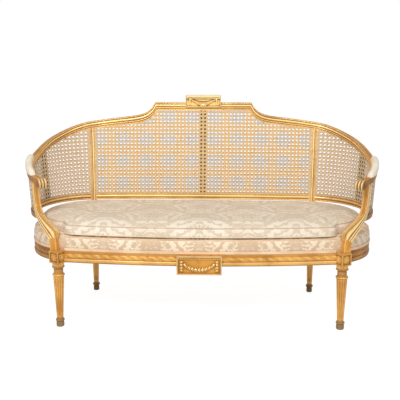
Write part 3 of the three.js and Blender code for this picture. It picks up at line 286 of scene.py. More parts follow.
def moulding(start, steps, height):
    """Section of a moulding. Each step is a reach out, a share of the height and a bulge on the way there:
    0 is a straight cut, more is a bead proud of the face, less is a hollow."""
    section = [start]
    for out, rise, bulge, *finer in steps:
        o, r = section[-1]
        fine = finer[0] if finer else 7
        if not bulge:
            section.append((out, rise))
            continue
        run = Vector((out - o, (rise - r) * height))
        normal = Vector((run.y, -run.x)).normalized()
        for t in np.linspace(0, pi, fine + 1)[1:]:
            middle = Vector((o, r * height)) + run * (1 - math.cos(t)) / 2 + normal * bulge * math.sin(t)
            section.append((middle.x, middle.y / height))
    return np.array(section)


def even(low, high, step):
    """Evenly spread values, about a step apart."""
    return np.linspace(low, high, max(2, int(round(abs(high - low) / step)) + 1))


def circle(count):
    return np.linspace(0, 2 * pi, count, endpoint=False)


def unit(rows):
    return rows / np.linalg.norm(rows, axis=1)[:, None]


def smoothstep(low, high, value):
    t = np.clip((value - low) / (high - low), 0, 1)
    return t * t * (3 - 2 * t)


def dome(w, middle, half):
    """Round ridge, 1 high along its middle and 0 beyond its half width."""
    return np.sqrt(np.clip(1 - ((w - middle) / half) ** 2, 0, 1))


def ball(x, y, radius):
    return np.sqrt(np.clip(1 - (x * x + y * y) / radius ** 2, 0, 1))


def repeated(x, pitch):
    """How far x is from the nearest whole pitch."""
    return x - np.rint(x / pitch) * pitch


# ---------------------------------------------------------------- making of materials
def maths(operation):
    """A method of a socket, which puts a Math node after it."""
    def method(self, *others):
        return self.nodes.node("ShaderNodeMath", dict(enumerate([self, *others])), operation=operation)
    return method


class Socket:
    """A node's output, with arithmetic on it."""
    __add__ = __radd__ = maths("ADD")
    __sub__ = maths("SUBTRACT")
    __mul__ = __rmul__ = maths("MULTIPLY")
    __truediv__ = maths("DIVIDE")
    high, size, rounded, square_root = maths("MAXIMUM"), maths("ABSOLUTE"), maths("ROUND"), maths("SQRT")
    sine, cosine, angle, ping_pong = maths("SINE"), maths("COSINE"), maths("ARCTAN2"), maths("PINGPONG")

    def __init__(self, nodes, link):
        self.nodes, self.link = nodes, link

    def __rsub__(self, other):
        return self * -1.0 + other

    def root(self):
        return self.high(0.0).square_root()

    def folded(self, span):
        """Distance to the nearest multiple of a span."""
        return self.ping_pong(span / 2)

    def from_to(self, low, high):
        """0 below low, 1 above high and smooth between."""
        return self.nodes.node("ShaderNodeMapRange", {0: self, 1: low, 2: high, 3: 0.0, 4: 1.0},
                               interpolation_type="SMOOTHSTEP")


class Nodes:
    """A node tree, and the one method that adds a node to it."""

    def __init__(self, tree):
        self.tree = tree

    def feed(self, target, value):
        """Links a socket to an input, or sets the input to a value."""
        if isinstance(value, Socket):
            self.tree.links.new(value.link, target)
        elif target.type == "RGBA" and len(value) == 3:
            target.default_value = (*value, 1)
        else:
            target.default_value = value

    def node(self, kind, values=None, output=0, **settings):
        new = self.tree.nodes.new(kind)
        for key, value in settings.items():
            setattr(new, key, value)
        for key, value in (values or {}).items():
            self.feed(new.inputs[key], value)
        return Socket(self, new.outputs[output])

    def rays(self):
        """Which rays arrive: straight from the camera, off a glossy face, or through a clear one."""
        return [self.node("ShaderNodeLightPath", output=f"Is {kind} Ray")
                for kind in ("Camera", "Glossy", "Transmission")]


class Finish(Nodes):
    """A material on the Principled shader."""

    def __init__(self, name, **constants):
        self.material = bpy.data.materials.new(name)
        self.material.use_nodes = True
        super().__init__(self.material.node_tree)
        self.shader = self.tree.nodes["Principled BSDF"]
        for socket, value in constants.items():
            self.set(socket.replace("_", " "), value)

    def set(self, socket, value):
        self.feed(self.shader.inputs[socket], value)

    def place(self, scale=(1, 1, 1)):
        """Object coordinates, scaled."""
        where = self.node("ShaderNodeTexCoord", output="Object")
        return self.node("ShaderNodeMapping", {"Vector": where, "Scale": scale})

    def axes(self, vector):
        return [self.node("ShaderNodeSeparateXYZ", {0: vector}, k) for k in range(3)]

    def noise(self, scale, detail=3.0, rough=0.55, vector=None, stretch=(1, 1, 1), twist=0.0):
        vector = vector or self.place(stretch)
        return self.node("ShaderNodeTexNoise", {
            "Vector": vector, "Scale": scale, "Detail": detail, "Roughness": rough, "Distortion": twist})

    def mix(self, share, first, second):
        return self.node("ShaderNodeMix", {0: share, 6: first, 7: second}, 2, data_type="RGBA")

    def attribute(self, name, output="Fac"):
        return self.node("ShaderNodeAttribute", None, output, attribute_name=name)

    def bump(self, height, strength, distance):
        bumped = self.node("ShaderNodeBump", {"Strength": strength, "Distance": distance, "Height": height})
        self.set("Normal", bumped)
        return self.material


def rgb(r, g, b):
    """Linear colour from the levels that it is seen at."""
    return tuple(((v / 255 + 0.055) / 1.055) ** 2.4 if v > 10 else v / 255 / 12.92 for v in (r, g, b))


def gilding(name, low, high, rubbed=0.35, carved=0.25, groove=0.8):
    """Water gilding over red bole, rubbed through in places, with painted highlights on beads and painted shade in
    grooves.
    """
    made = Finish(name)
    made.set("Specular IOR Level", 0.25)
    relief, behind, tone = (made.attribute(kind) for kind in ("relief", "behind", "tone"))
    broad, fine = made.noise(9, 4), made.noise(70, 5, 0.7)
    z = made.axes(made.place())[2]
    foot = 1 - (z + (fine - 0.5) * 0.02).from_to(0.030, 0.052)
    mottle = (fine - 0.5) * 0.8
    # Masks of painted shade, in hollows of the relief and grooves of the tone, and of painted highlight, on ridges
    # and beads
    hollow = ((mottle - relief).from_to(0.15, 1.1) * carved).high((mottle * 0.4 - tone).from_to(0.1, 0.9) * groove)
    ridge = ((relief + mottle).from_to(0.2, 1.2) * carved).high((tone + mottle * 0.5).from_to(0.2, 0.95) * 0.9)
    gold = made.mix(broad.from_to(0.35, 0.65), low, high)
    # Painted shade on faces turned away from the seat, and darker brown on faces turned up
    brown = made.mix(broad.from_to(0.4, 0.6), rgb(118, 64, 22), rgb(160, 100, 40))
    gold = made.mix(behind * (0.65 + fine * 0.5), gold, brown)
    # Painted highlight on ridges and beads
    gold = made.mix(ridge * (1 - behind * 0.65), gold, rgb(255, 236, 176))
    worn = made.noise(26, 6, 0.75).from_to(0.54, 0.66) * rubbed
    gold = made.mix(worn, gold, rgb(150, 84, 34))
    # Painted shade in hollows and grooves
    gold = made.mix(hollow, gold, rgb(104, 54, 14))
    gold = made.mix(foot * 0.8, gold, rgb(122, 106, 82))
    made.set("Base Color", gold)
    dull = (behind * 0.8).high(foot).high(hollow)
    made.set("Metallic", (1 - dull) * 0.3)
    made.set("Roughness", 0.24 + fine * 0.14 + dull * 0.3)
    return made.bump(made.noise(240, 4), 0.25, 0.0006)


GILT = gilding("gilding", rgb(208, 138, 48), rgb(230, 166, 70), groove=0.85)
# A lighter copy of the gilding with less painted shade in its grooves: painted light on the crest and lower back rail
GILT_LIT = gilding("lit_gilding", rgb(228, 166, 76), rgb(248, 200, 112), 0.15, groove=0.6)
# A lighter copy of the gilding: painted light on the rear legs and stiles, which stand back in shade
GILT_LIGHTENED = gilding("lightened_gilding", rgb(224, 162, 80), rgb(244, 188, 106), 0.3, groove=0.6)
GILT_CARVED = gilding("carved_gilding", rgb(204, 140, 54), rgb(228, 168, 80), 0.35, 0.2, 0.85)
GILT_APRON = gilding("apron_gilding", rgb(200, 136, 50), rgb(218, 156, 68), 0.3, 0.48)
# A lighter copy of the gilding: painted light on the crest tablet, with much light and shade painted from its relief
GILT_TABLET = gilding("tablet_gilding", rgb(236, 182, 96), rgb(250, 206, 124), 0.15, 0.9)


def caning(name, gold, grey):
    """Split cane, in two tones that alternate over the middle of the back."""
    made = Finish(name, Roughness=0.45)
    x, _, z = made.axes(made.place())
    tone = made.noise(150, 2)
    wide, tall, middle = 0.115, 0.108, 0.666
    patches = (x * (2 * pi / wide)).cosine() - ((z - middle) * (2 * pi / tall)).cosine() + (made.noise(5, 2) - 0.5)
    outer = x.size().from_to(0.5, 0.56)
    pale = (-0.25 - patches).from_to(-0.3, 0.5) * (1 - outer) + outer * 0.5
    base = made.mix(pale, gold, grey)
    made.set("Base Color", made.mix(tone.from_to(0.35, 0.7) * 0.3, base, rgb(250, 232, 200)))
    return made.bump(made.noise(900, 2, stretch=(1, 1, 0.2)), 0.2, 0.0003)


CANE_FRONT = caning("cane_front", rgb(232, 190, 124), rgb(208, 194, 176))
CANE_REAR = caning("cane_rear", rgb(206, 156, 86), rgb(190, 170, 142))


def beech():
    made = Finish("beech", Roughness=0.62)
    grain = made.noise(30, 5, 0.6, stretch=(1, 1, 0.06))
    made.set("Base Color", made.mix(grain.from_to(0.35, 0.65), rgb(150, 108, 66), rgb(186, 142, 94)))
    return made.bump(grain, 0.3, 0.001)


def steel():
    made = Finish("steel", Metallic=0.9)
    tone = made.noise(120, 3)
    made.set("Base Color", made.mix(tone, rgb(120, 118, 114), rgb(170, 168, 162)))
    made.set("Roughness", 0.35 + tone * 0.2)
    return made.bump(tone, 0.1, 0.0005)


def cloth(name, first, second, weave=1800.0):
    """Plain woven cloth that reads its threads from Object coordinates."""
    made = Finish(name, Roughness=0.72)
    made.set("Sheen Weight", 0.15)
    x, y, z = made.axes(made.place())
    threads = ((x + y) * weave).sine() * ((z + y * 0.3) * weave).sine()
    cloudy = made.noise(14, 4)
    made.set("Base Color", made.mix(cloudy.from_to(0.3, 0.7), first, second))
    return made.bump(threads * 0.5 + made.noise(500, 2), 0.15, 0.0004)


SILK = cloth("plain_silk", rgb(238, 222, 198), rgb(248, 236, 216))
BRAID = cloth("gimp_braid", rgb(232, 190, 150), rgb(246, 214, 178))
WELT = cloth("welt_silk", rgb(222, 206, 180), rgb(236, 222, 198))
JUTE = cloth("jute", rgb(150, 122, 80), rgb(184, 156, 108), 900.0)
HESSIAN = cloth("hessian", rgb(140, 116, 76), rgb(166, 142, 98), 700.0)
BEECH, STEEL = beech(), steel()
# Painted shade: the braces between the two cane layers get the dark brown of the shade they stand in
BRACE_SHADE = cloth("shaded_brace_wood", rgb(96, 74, 40), rgb(120, 92, 52), 300.0)
PEG = cloth("peg_holes", rgb(96, 56, 20), rgb(124, 76, 30), 900.0)


def damask(name, light, shade, figured):
    """Cream silk damask. Leafy ribbons cross in an ogee lattice, and each mesh holds a mirrored flower."""
    made = Finish(name, Roughness=0.5)
    made.set("Sheen Weight", 0.2)
    u, v, _ = made.axes(made.attribute("cloth", "Vector"))
    wide, tall = 0.42, 0.36
    lattice = (u * (2 * pi / wide)).cosine() + (v * (2 * pi / tall)).cosine()
    shifted = 1 - lattice.from_to(-0.01, 0.01)
    du, dv = (u + shifted * (wide / 2)).folded(wide), v + shifted * (tall / 2)
    dv = dv - (dv / tall).rounded() * tall
    mesh = made.node("ShaderNodeCombineXYZ", {0: du, 1: dv, 2: 0.0})
    curls, leaves = made.noise(30, 2, 0.5, mesh, twist=1.6), made.noise(58, 2, 0.5, mesh, twist=1.2)
    angle, radius = dv.angle(du), (du * du + dv * dv).root()
    petals = ((radius * 150.0 - (angle * 5.0).sine() * 1.6).sine() * 0.6 + (curls - 0.5) * 5.0).from_to(0.0, 0.3)
    heart = (0.052 + (angle * 7.0).cosine() * 0.012 - radius).from_to(-0.002, 0.003)
    vein = ((angle * 14.0).cosine() * 0.5 + (leaves - 0.5) * 3.0).from_to(0.25, 0.45)
    ribbon = (0.3 + (curls - 0.5) * 1.5 - lattice.size()).from_to(-0.05, 0.08)
    rib = ((leaves - 0.5) * 6.0).from_to(0.3, 0.7)
    figure = (petals * (1 - heart)).high(heart * (1 - vein)).high(ribbon * (1 - rib * 0.8))
    ground = made.mix(made.noise(6, 4).from_to(0.3, 0.7), light, shade)
    cloth_colour = made.mix(figure * 0.62, ground, figured)
    # Painted shade: a brown line along the cushion's upper seam
    made.set("Base Color", made.mix(made.attribute("seam") * 0.75, cloth_colour, rgb(138, 100, 60)))
    x, y, z = made.axes(made.place())
    threads = (x * 2400.0).sine() * ((y + z) * 2400.0).sine()
    return made.bump(figure * 0.6 + threads * 0.25, 0.25, 0.0007)


DAMASK = damask("damask", rgb(248, 234, 214), rgb(238, 222, 198), rgb(208, 184, 152))
# A darker copy of the damask, used on the fixed seat
DAMASK_DARKER = damask("darker_damask", rgb(244, 226, 198), rgb(234, 212, 180), rgb(194, 156, 118))

# ---------------------------------------------------------------- crest rail and arms
CREST_SECTION = moulding((6.2, 0), [
    (25.8, 0, 0), (25.8, 0.2, 0), (31, 0.22, 0), (32, 0.26, 0.3), (32, 0.8, 1.2), (27, 1, 1.6)] + [
    (out, 1, 0) for out in np.linspace(27, 9, 13)[1:]] + [
    (3.2, 0.965, 1.4), (2.6, 0.87, 1.0), (6.6, 0.86, 0), (6.6, 0.81, 0), (4.0, 0.8, 0), (4.0, 0.51, 4.2),
    (6.9, 0.5, 0), (6.9, 0.44, 0), (4.4, 0.43, 0), (4.4, 0.3, 2.6), (6.9, 0.29, 0), (6.9, 0.23, 0),
    (4.4, 0.215, 0.4), (6.2, 0.2, 0), (6.2, 0.001, 0)], 40)
# Painted highlight on the crest's beads and painted shade in its grooves, from 1 to -1 over the front of the section
CREST_PAINTED_LIGHT = np.where(CREST_SECTION[:, 0] < 10, np.interp(
    CREST_SECTION[:, 1],
    [0, 0.2, 0.215, 0.26, 0.3, 0.365, 0.43, 0.47, 0.51, 0.58, 0.67, 0.75, 0.8, 0.835, 0.87, 0.92, 0.965, 1],
    [-0.2, -0.2, 0.2, -1, -0.1, 1, -0.1, -1, -0.2, 0.3, 1, 0.3, -0.2, -1, -0.2, 0.7, 0.3, -0.2]), -0.1)


def crest_rings(bases):
    """The rail's section at each place along its upper edge, with mitred lines at the step and a carved lip."""
    out, rise = CREST_SECTION.T
    lip = (rise > 0.86) & (out < 10)
    rings = []
    for base in bases:
        side, along = math.copysign(1, base), abs(base)
        slip = SLIP * max(0, 1 - along / STILE) * float(smoothstep(30, 120, along))
        s = along - (1 - rise) * slip
        z = float(crest_top(along)) - (1 - rise) * crest_height(s)
        notch = lip * 1.3 * (np.abs(np.sin(base * pi / 15 + rise * 9)) < 0.42)
        leaf = (rise > 0.99) * 1.7 * np.abs(np.sin(out * pi / 6)) * float(smoothstep(SUPPORT + 2, SUPPORT + 9, along))
        rings.append(on_shell(side * s, out + notch, z - notch * 0.6 - leaf))
    return np.array(rings)


def crest_places():
    swept = CREST_HALF + SWEEP * np.array([
        0.0, 0.001, 0.1, 0.22, 0.36, 0.52, 0.7, 0.92, 1.2, 1.55, 2.0, 2.6, 3.4, 4.4])
    half = np.r_[even(0, CREST_HALF, 3.2)[:-1], swept, even(swept[-1], CREST_JOINT, 3.2)[1:]]
    return np.r_[-half[::-1], half[1:]]


Work().skin(crest_rings(crest_places()), tone=CREST_PAINTED_LIGHT).piece(
    "crest_moulding", GILT_LIT, "gilt_wood", ["crest_rail"], relief=150, shell=True)

SCROLL, SCROLL_TURN = 23.0, math.radians(25)
REED_FOOT, REED_RISE = 18.5, 4.3


def scroll_rings():
    """Reeded roll at the arm's tip, turned to the front, with a sunk eye and a button at each side."""
    reeds = [(o, REED_FOOT + REED_RISE * math.sqrt(abs(math.sin(3 * pi * (o + 3) / 38))))
             for o in np.linspace(-3, 35, 67)]
    eye = [(35.8, 18.4), (35.8, 15), (34.6, 14), (34.6, 9), (35.4, 8.2), (36.6, 6), (37, 3.5), (37.2, 0.6)]
    turn = circle(72)
    rings, tones = [], []
    for out, radius in [(32 - o, r) for o, r in eye[::-1]] + reeds + eye:
        ahead, across = radius * np.cos(turn), out - 16
        rings.append(on_shell(
            ARM_END - SCROLL + ahead * math.cos(SCROLL_TURN) - across * math.sin(SCROLL_TURN),
            16 + across * math.cos(SCROLL_TURN) + ahead * math.sin(SCROLL_TURN),
            float(crest_top(ARM_END)) - SCROLL + radius * np.sin(turn)))
        # Painted highlight on the reeds, painted shade between them and round the eye
        tones.append([(radius - REED_FOOT) / REED_RISE * 2 - 1 if radius > REED_FOOT - 0.05 else -0.3])
    return {"rings": rings, "tone": tones}


arm_places = np.r_[even(CREST_JOINT + 0.3, SUPPORT, 3.2), even(SUPPORT, ARM_END - SCROLL, 2.0)[1:]]
arm = Work().skin(crest_rings(arm_places), tone=CREST_PAINTED_LIGHT)
arm.skin(**scroll_rings()).pair("arm_moulding", GILT, "gilt_wood", "arm_rail", relief=150, shell=True)

# ---------------------------------------------------------------- lower rails of the back
LOWER_SECTION = moulding((4, 0), [
    (31, 0, 0), (32, 0.7, 0.8), (25.8, 0.74, 0), (25.8, 1, 0), (6.2, 1, 0), (6.2, 0.76, 0), (4.2, 0.74, 0),
    (3.8, 0.36, 3.9), (7.0, 0.35, 0), (7.0, 0.25, 0), (4.4, 0.24, 0), (4.4, 0.03, 2.4)], 33)
lower_out, lower_z = LOWER_SECTION[:, 0], LOWER_LOW + LOWER_SECTION[:, 1] * (LOWER_TOP - LOWER_LOW)
# Painted highlight on the lower rail's beads and painted shade in its grooves
LOWER_PAINTED_LIGHT = np.where(lower_out < 10, np.interp(
    LOWER_SECTION[:, 1], [0, 0.03, 0.13, 0.24, 0.3, 0.36, 0.46, 0.56, 0.66, 0.74, 0.76, 1],
    [-0.4, -0.2, 0.7, -0.1, -1, -0.1, 0.5, 1, 0.3, -0.6, -0.3, -0.2]), -0.1)


def lower_ring(s, notch_at):
    """The lower rail's section, with notches carved across its lower bead."""
    notch = (LOWER_SECTION[:, 1] < 0.23) & (lower_out < 8) & (abs(math.sin(notch_at * pi / 15)) < 0.36)
    return on_shell(s, lower_out + 1.4 * notch, lower_z)


back_half = STILE - STILE_JOINT
Work().skin([lower_ring(s, s) for s in even(-back_half, back_half, 2.5)], tone=LOWER_PAINTED_LIGHT).piece(
    "lower_back_moulding", GILT_LIT, "gilt_wood", ["lower_back_rail"], relief=150, shell=True)

# ---------------------------------------------------------------- arm supports
# Each place of the sweep: its share of the height, of the turn back to the arm and of the flare
SUPPORT_REACH = LEG_REACH - END_RADIUS + (DATUM - RAIL_TOP) * SIDE_RAKE
SUPPORT_RISE = float(crest_bottom(SUPPORT)) - RAIL_TOP
SUPPORT_SWEEP = np.array([
    [0, 0, 0], [0.1, 0, 0], [0.15, 0.01, 0.02], [0.19, 0.03, 0.3], [0.225, 0.07, 0.92], [0.25, 0.115, 1],
    [0.3, 0.22, 0.74], [0.385, 0.445, 0.4], [0.455, 0.65, 0.17], [0.54, 0.85, 0.05], [0.62, 0.95, 0.01],
    [0.71, 0.99, 0], [0.82, 1, 0], [1, 1, 0], [1.03, 1, 0]])


def support_places(count):
    """Share, angle, reach, height, width and flare along the support, eased between its set places."""
    rise = np.linspace(0, 1.03, count)
    turn = line_through(SUPPORT_SWEEP[:, [0, 1]])(rise)
    flare = line_through(SUPPORT_SWEEP[:, [0, 2]])(rise)
    angle = -62.4 + 29.4 * turn
    out = SUPPORT_REACH + (16 - SUPPORT_REACH) * turn
    base = 36 - 5 * turn
    return rise, angle, out, SEAT_FOOT + SUPPORT_RISE * rise, base + (56 - base) * flare, flare


def support_station(z):
    _, angle, _, height, _, _ = support_places(60)
    return np.interp(z, height, [station_at(a) for a in angle])


side_start = STILE + STILE_JOINT
side_rings = [lower_ring(side_start + (support_station(lower_z) - side_start) * share, share * 430)
              for share in np.linspace(0, 1, 170)]
Work().skin(side_rings, tone=LOWER_PAINTED_LIGHT).pair(
    "lower_side_moulding", GILT, "gilt_wood", "lower_side_rail", relief=150, shell=True)


def support_rings():
    """Sweep with three reeds on its face and husks on its inner flank, which widens low down."""
    rise, angle, out, z, width, flare = support_places(190)
    centre = on_shell(np.array([station_at(a) for a in angle]), out, z)
    along = np.gradient(centre, axis=0)
    length = np.cumsum(np.linalg.norm(along, axis=1))
    along[0] = along[-1] = (0, 0, 1)
    along = unit(along)
    outward = points(np.cos(np.radians(angle)), np.sin(np.radians(angle)), 0)
    across = unit(np.cross(along, outward))
    forward = np.cross(across, along)
    face, flank = np.linspace(-1, 1, 65), np.linspace(-1, 1, 25)
    rear, side = np.linspace(1, -1, 9), np.linspace(1, -1, 5)
    rings, tones = [], []
    for k in range(len(rise)):
        half = width[k] / 2
        inward = (1 - face) * half
        reeded = smoothstep(0.17, 0.215, rise[k]) * smoothstep(1.0, 0.97, rise[k])
        husky = smoothstep(0.2, 0.23, rise[k]) * smoothstep(0.6, 0.46, rise[k])
        pair = np.maximum(dome(inward, 6.2, 5.8), dome(inward, 18, 5.6))
        broad = dome(inward, (24 + width[k]) / 2, width[k] / 2 - 12)
        proud = 3.8 * np.maximum(broad, pair) * reeded + 2.4 * (1 - reeded)
        # Painted highlight on the reeds, painted shade between them
        shown = np.maximum(pair, broad) ** 4 * 2.2 - 0.75
        edge = np.maximum(dome(flank, 0.84, 0.16), dome(flank, -0.84, 0.16))
        strip = (np.abs(flank) < 0.68) * husky * np.abs(np.sin(pi * (length[k] / 12 + 0.5 * np.abs(flank))))
        bulge = reeded * (2.0 * np.maximum(edge, strip * 0.9) - 1.4)
        places = np.concatenate([
            np.stack([face * (half - 0.6), 10.0 + proud - 1.4 * face ** 10], 1),
            np.stack([half + 0 * side, side * 9.5], 1)[1:],
            np.stack([rear * (half - 1.5), -13.5 + 0 * rear], 1),
            np.stack([-half - bulge, flank * 10.5], 1)[1:-1]])
        inner = -across[k] * flare[k] * 8
        rings.append(centre[k] + inner + across[k] * places[:, :1] + forward[k] * places[:, 1:])
        # Painted highlight on the husks and edge beads, painted shade between them
        husks = np.maximum(edge ** 3 * 1.2, strip ** 2 * 1.1) - 0.35
        tones.append(np.concatenate([shown * reeded, side[1:] * 0, rear * 0, husks[1:-1] * reeded]))
    return {"rings": rings, "tone": tones}


Work().skin(**support_rings()).pair("support_carving", GILT, "gilt_wood", "arm_support", relief=120)


# ---------------------------------------------------------------- legs
def turned_rings(profile, centre, flutes, flute_low, flute_high):
    """Turned leg: a profile of radii and heights, with scooped flutes that end in round heads."""
    radius, z = profile.T
    angle = circle(120)
    pitch = 2 * pi / flutes
    offset = (angle / pitch - np.rint(angle / pitch)) / 0.4
    # Band of painted shade on the neck between the flutes and the block
    neck = smoothstep(flute_high + 16, flute_high + 20, z) * smoothstep(RAIL_LOW - 1, RAIL_LOW - 5, z)
    rings, tones = [], []
    for r, h, shade in zip(radius, z, neck):
        end = max((flute_low + 9 - h) / 9, (h - flute_high + 9) / 9, 0)
        scoop = np.sqrt(np.clip(1 - offset ** 2 - end ** 2, 0, 1)) * 3.0
        reach = r - scoop * (flute_low < h < flute_high)
        rings.append(points(centre[0] + reach * np.cos(angle), centre[1] + reach * np.sin(angle), h))
        # Painted shade in the flutes and on the neck, painted highlight on the fillets between the flutes
        tones.append(np.where(scoop > 0, 0.3 - scoop * 0.24, 0.45 * (flute_low < h < flute_high)) - shade * 0.5)
    return {"rings": rings, "tone": tones}


def leg_profile(foot, bulge, foot_high, ring, ring_high, ankle, knee, knee_high, collar, collar_high,
                neck, neck_high, capital, capital_high):
    """Radii and heights from the floor up."""
    ring_top, collar_top = foot_high + ring_high, knee_high + collar_high
    neck_top = collar_top + neck_high
    steps = [
        (bulge, 9, 2.0), (bulge - 1, foot_high - 2, 1.0), (foot, foot_high, 0), (ring - 2, foot_high + 0.5, 0),
        (ring - 2, ring_top - 0.5, 2.5), (ankle + 1, ring_top, 0), (ankle, ring_top + 4, 0)]
    steps += [(ankle + (knee - ankle) * t, ring_top + 4 + (knee_high - ring_top - 8) * t, 0)
              for t in np.linspace(0.02, 1, 60)]
    steps += [
        (knee - 1, knee_high - 1, 0), (collar - 2, knee_high, 0), (collar - 2, collar_top - 3, 3.0),
        (neck + 2, collar_top - 2, 0), (neck, collar_top + 2, -1.0), (neck, neck_top - 6, 0),
        (neck + 2, neck_top, -1.0), (capital - 2, neck_top + capital_high / 3, 0),
        (capital - 1, neck_top + capital_high * 0.8, 2.0), (capital - 2, RAIL_LOW, 0)]
    section = moulding((foot * 0.6, 0), [(foot, 0.001, 0)] + [(r, z / 300, b) for r, z, b in steps], 300)
    section[:, 1] *= 300
    return section


def carved_block(work, centre, size, turn, rosettes=True):
    """Square block over a leg: each upright face has a sunk panel with a rosette."""
    half, tall, middle = size / 2, (RAIL_TOP - RAIL_LOW) / 2, (RAIL_LOW + RAIL_TOP) / 2
    grid = np.linspace(-1, 1, 45)
    a, b = np.meshgrid(grid * half, grid * tall)
    edge = np.minimum(half - np.abs(a), tall - np.abs(b))
    radius, angle = np.hypot(a, b), np.arctan2(b, a)
    field = smoothstep(5, 7, edge)
    outer = np.clip(1 - (radius - 12) ** 2 / 52, 0, 1) * np.abs(np.cos(angle * 4)) ** 0.6
    inner = np.clip(1 - (radius - 6) ** 2 / 14, 0, 1) * np.abs(np.sin(angle * 4)) ** 0.6
    boss = dome(radius, 0, 4)
    rosette = np.maximum.reduce([outer * 3.2, inner * 4.2, boss * 5.0]) * rosettes
    sunk = field * (-3.4 + rosette) * rosettes
    # Painted highlight on the rosette, painted shade on its sunk ground and round the border
    tone = np.where(edge > 6, np.clip(rosette * 0.4 - 0.8, -0.6, 0.7), -0.3) * rosettes
    for quarter in range(4):
        facing = math.radians(turn + 90 * quarter)
        normal = np.array((math.cos(facing), math.sin(facing), 0))
        side = np.array((-math.sin(facing), math.cos(facing), 0))
        face = (np.array((*centre, middle)) + normal * (half + sunk)[..., None]
                + side * a[..., None] + np.array((0, 0, 1)) * b[..., None])
        work.skin(face, closed=False, capped=False, tone=tone)
    welded(work.bm)


front_profile = leg_profile(
    foot=14, bulge=17, foot_high=27, ring=19.5, ring_high=9, ankle=14.5, knee=24, knee_high=238,
    collar=27, collar_high=11, neck=21, neck_high=24, capital=27.5, capital_high=10)
front_leg = Work()
carved_block(front_leg, (LEG_X, LEG_Y), 55, -55)
front_leg.skin(**turned_rings(front_profile, (LEG_X, LEG_Y), flutes=12, flute_low=48, flute_high=231))
front_leg.pair("front_leg_carving", GILT_CARVED, "gilt_wood", "front_leg", relief=22)

rear_profile = leg_profile(
    foot=11.5, bulge=13.5, foot_high=27, ring=17.5, ring_high=11, ankle=12.5, knee=19.5, knee_high=262,
    collar=20.5, collar_high=8, neck=17, neck_high=12, capital=21.5, capital_high=12)
STILE_SECTION = moulding((-14, 32), [
    (-14, 6.4, 0), (-8.2, 6.2, 0), (-7.8, 3.4, 0), (-6.4, 3.2, 0), (-6.2, 5.0, 0), (1.6, 5.0, 4.8, 12), (1.8, 5.4, 0),
    (2.8, 5.4, 0), (3.0, 4.2, 0), (7.2, 4.2, 2.6), (8.2, 6.2, 0), (14, 6.4, 0), (14, 32, 0)], 1)
stile_across, stile_out = STILE_SECTION.T
# Painted highlight along the stile's bead and painted shade in its grooves
STILE_PAINTED_LIGHT = np.where(stile_out < 10, np.interp(
    stile_across, [-14, -8.2, -7.8, -6.4, -6.2, -5.4, -4.4, -2.3, 0, 1.2, 1.8, 2.8, 3.6, 5.1, 6.6, 7.2, 8.2, 14],
    [-0.1, -0.1, 0.3, 0.3, -0.9, 0, 1, 1.2, 1, 0, -1, -1, 0, 0.8, 0, -0.5, -0.3, -0.1]), 0)


def stile_rings():
    heads = crest_bottom(STILE + stile_across) + 4
    return [on_shell(STILE + stile_across, stile_out, RAIL_TOP - 4 + (heads - RAIL_TOP + 4) * share)
            for share in np.linspace(0, 1, 60)]


rear_leg = Work()
carved_block(rear_leg, REAR_LEG[:2], 46, 80.5, rosettes=False)
rear_leg.skin(**turned_rings(rear_profile, REAR_LEG[:2], flutes=12, flute_low=54, flute_high=254))
rear_leg.skin(stile_rings(), tone=STILE_PAINTED_LIGHT)
rear_leg.pair("rear_leg_carving", GILT_LIGHTENED, "gilt_wood", "rear_leg", relief=30, shell=0.8)

# ---------------------------------------------------------------- seat rails
RIBBON_PITCH, RIBBON_SHARE, RIBBON_RISE = 42.0, 0.78, 1.3
RAIL_SECTION = moulding((0, 0), [
    (29, 0, 0), (31.6, 0.02, 0), (31.6, 0.05, 0.3), (30.4, 0.07, 0), (30.4, 0.36, 3.4), (29.8, 0.38, 0),
    (31.4, 0.40, 0.3), (30.4, 0.42, 0), (30.4, 0.74, 0.9, 15), (31.0, 0.76, 0), (31.8, 0.79, 0.4),
    (30.6, 0.80, 0), (33.6, 0.97, -1.4), (33.6, 1, 0), (12, 1, 0), (12, 0.927, 0), (0, 0.927, 0)], 54.4)


def twisted_ribbon(s, v):
    """Height of a ribbon wound round a stick, at a station and at v from -1 to 1 across its band."""
    turn = np.mod(s / RIBBON_PITCH + 0.42 * v, 1.0)
    edge = np.sqrt(np.clip(1 - np.abs(v) ** 3, 0, 1))
    ribbon = np.sqrt(np.clip(np.sin(np.clip(turn / RIBBON_SHARE, 0, 1) * pi), 0, 1)) * RIBBON_RISE
    stick = 1.4 * dome(v, 0, 0.45) - 0.6
    return np.where(turn < RIBBON_SHARE, np.maximum(ribbon, stick), stick) * edge


def rail_rings(point, stations, outer, carved=True):
    """Rail with a torus below, a carved band of twisted ribbon above it and a fillet on top."""
    out, rise = RAIL_SECTION.T
    z = RAIL_LOW + rise * (RAIL_TOP - RAIL_LOW)
    v = (rise - 0.58) / 0.16
    band = (np.abs(v) < 0.999) & (out > 29) & carved
    # Painted light and shade down the section: highlight on the torus, shade in the grooves and fillets
    base = np.where(out > 28, np.interp(
        rise, [0, 0.05, 0.07, 0.15, 0.22, 0.3, 0.37, 0.39, 0.42, 0.74, 0.76, 0.79, 0.8, 0.9, 1],
        [-0.5, -0.6, -0.2, 0.2, 0.55, 0.1, -0.7, -0.8, 0, 0, -0.7, 0.3, -0.5, -0.3, -0.2]), 0)
    rings, tones = [], []
    for s in stations:
        ribbon = twisted_ribbon(s, v)
        rings.append(point(s, out + outer - RAIL_DEPTH + np.where(band, ribbon - 0.6, 0), z))
        # Painted highlight on the ribbon's turns, painted shade at the band's edges
        tones.append(np.where(band, np.clip(ribbon / RIBBON_RISE, 0, 1) ** 2 * (1 - np.abs(v)) * 0.8 - 0.12, base))
    return {"rings": rings, "tone": tones}


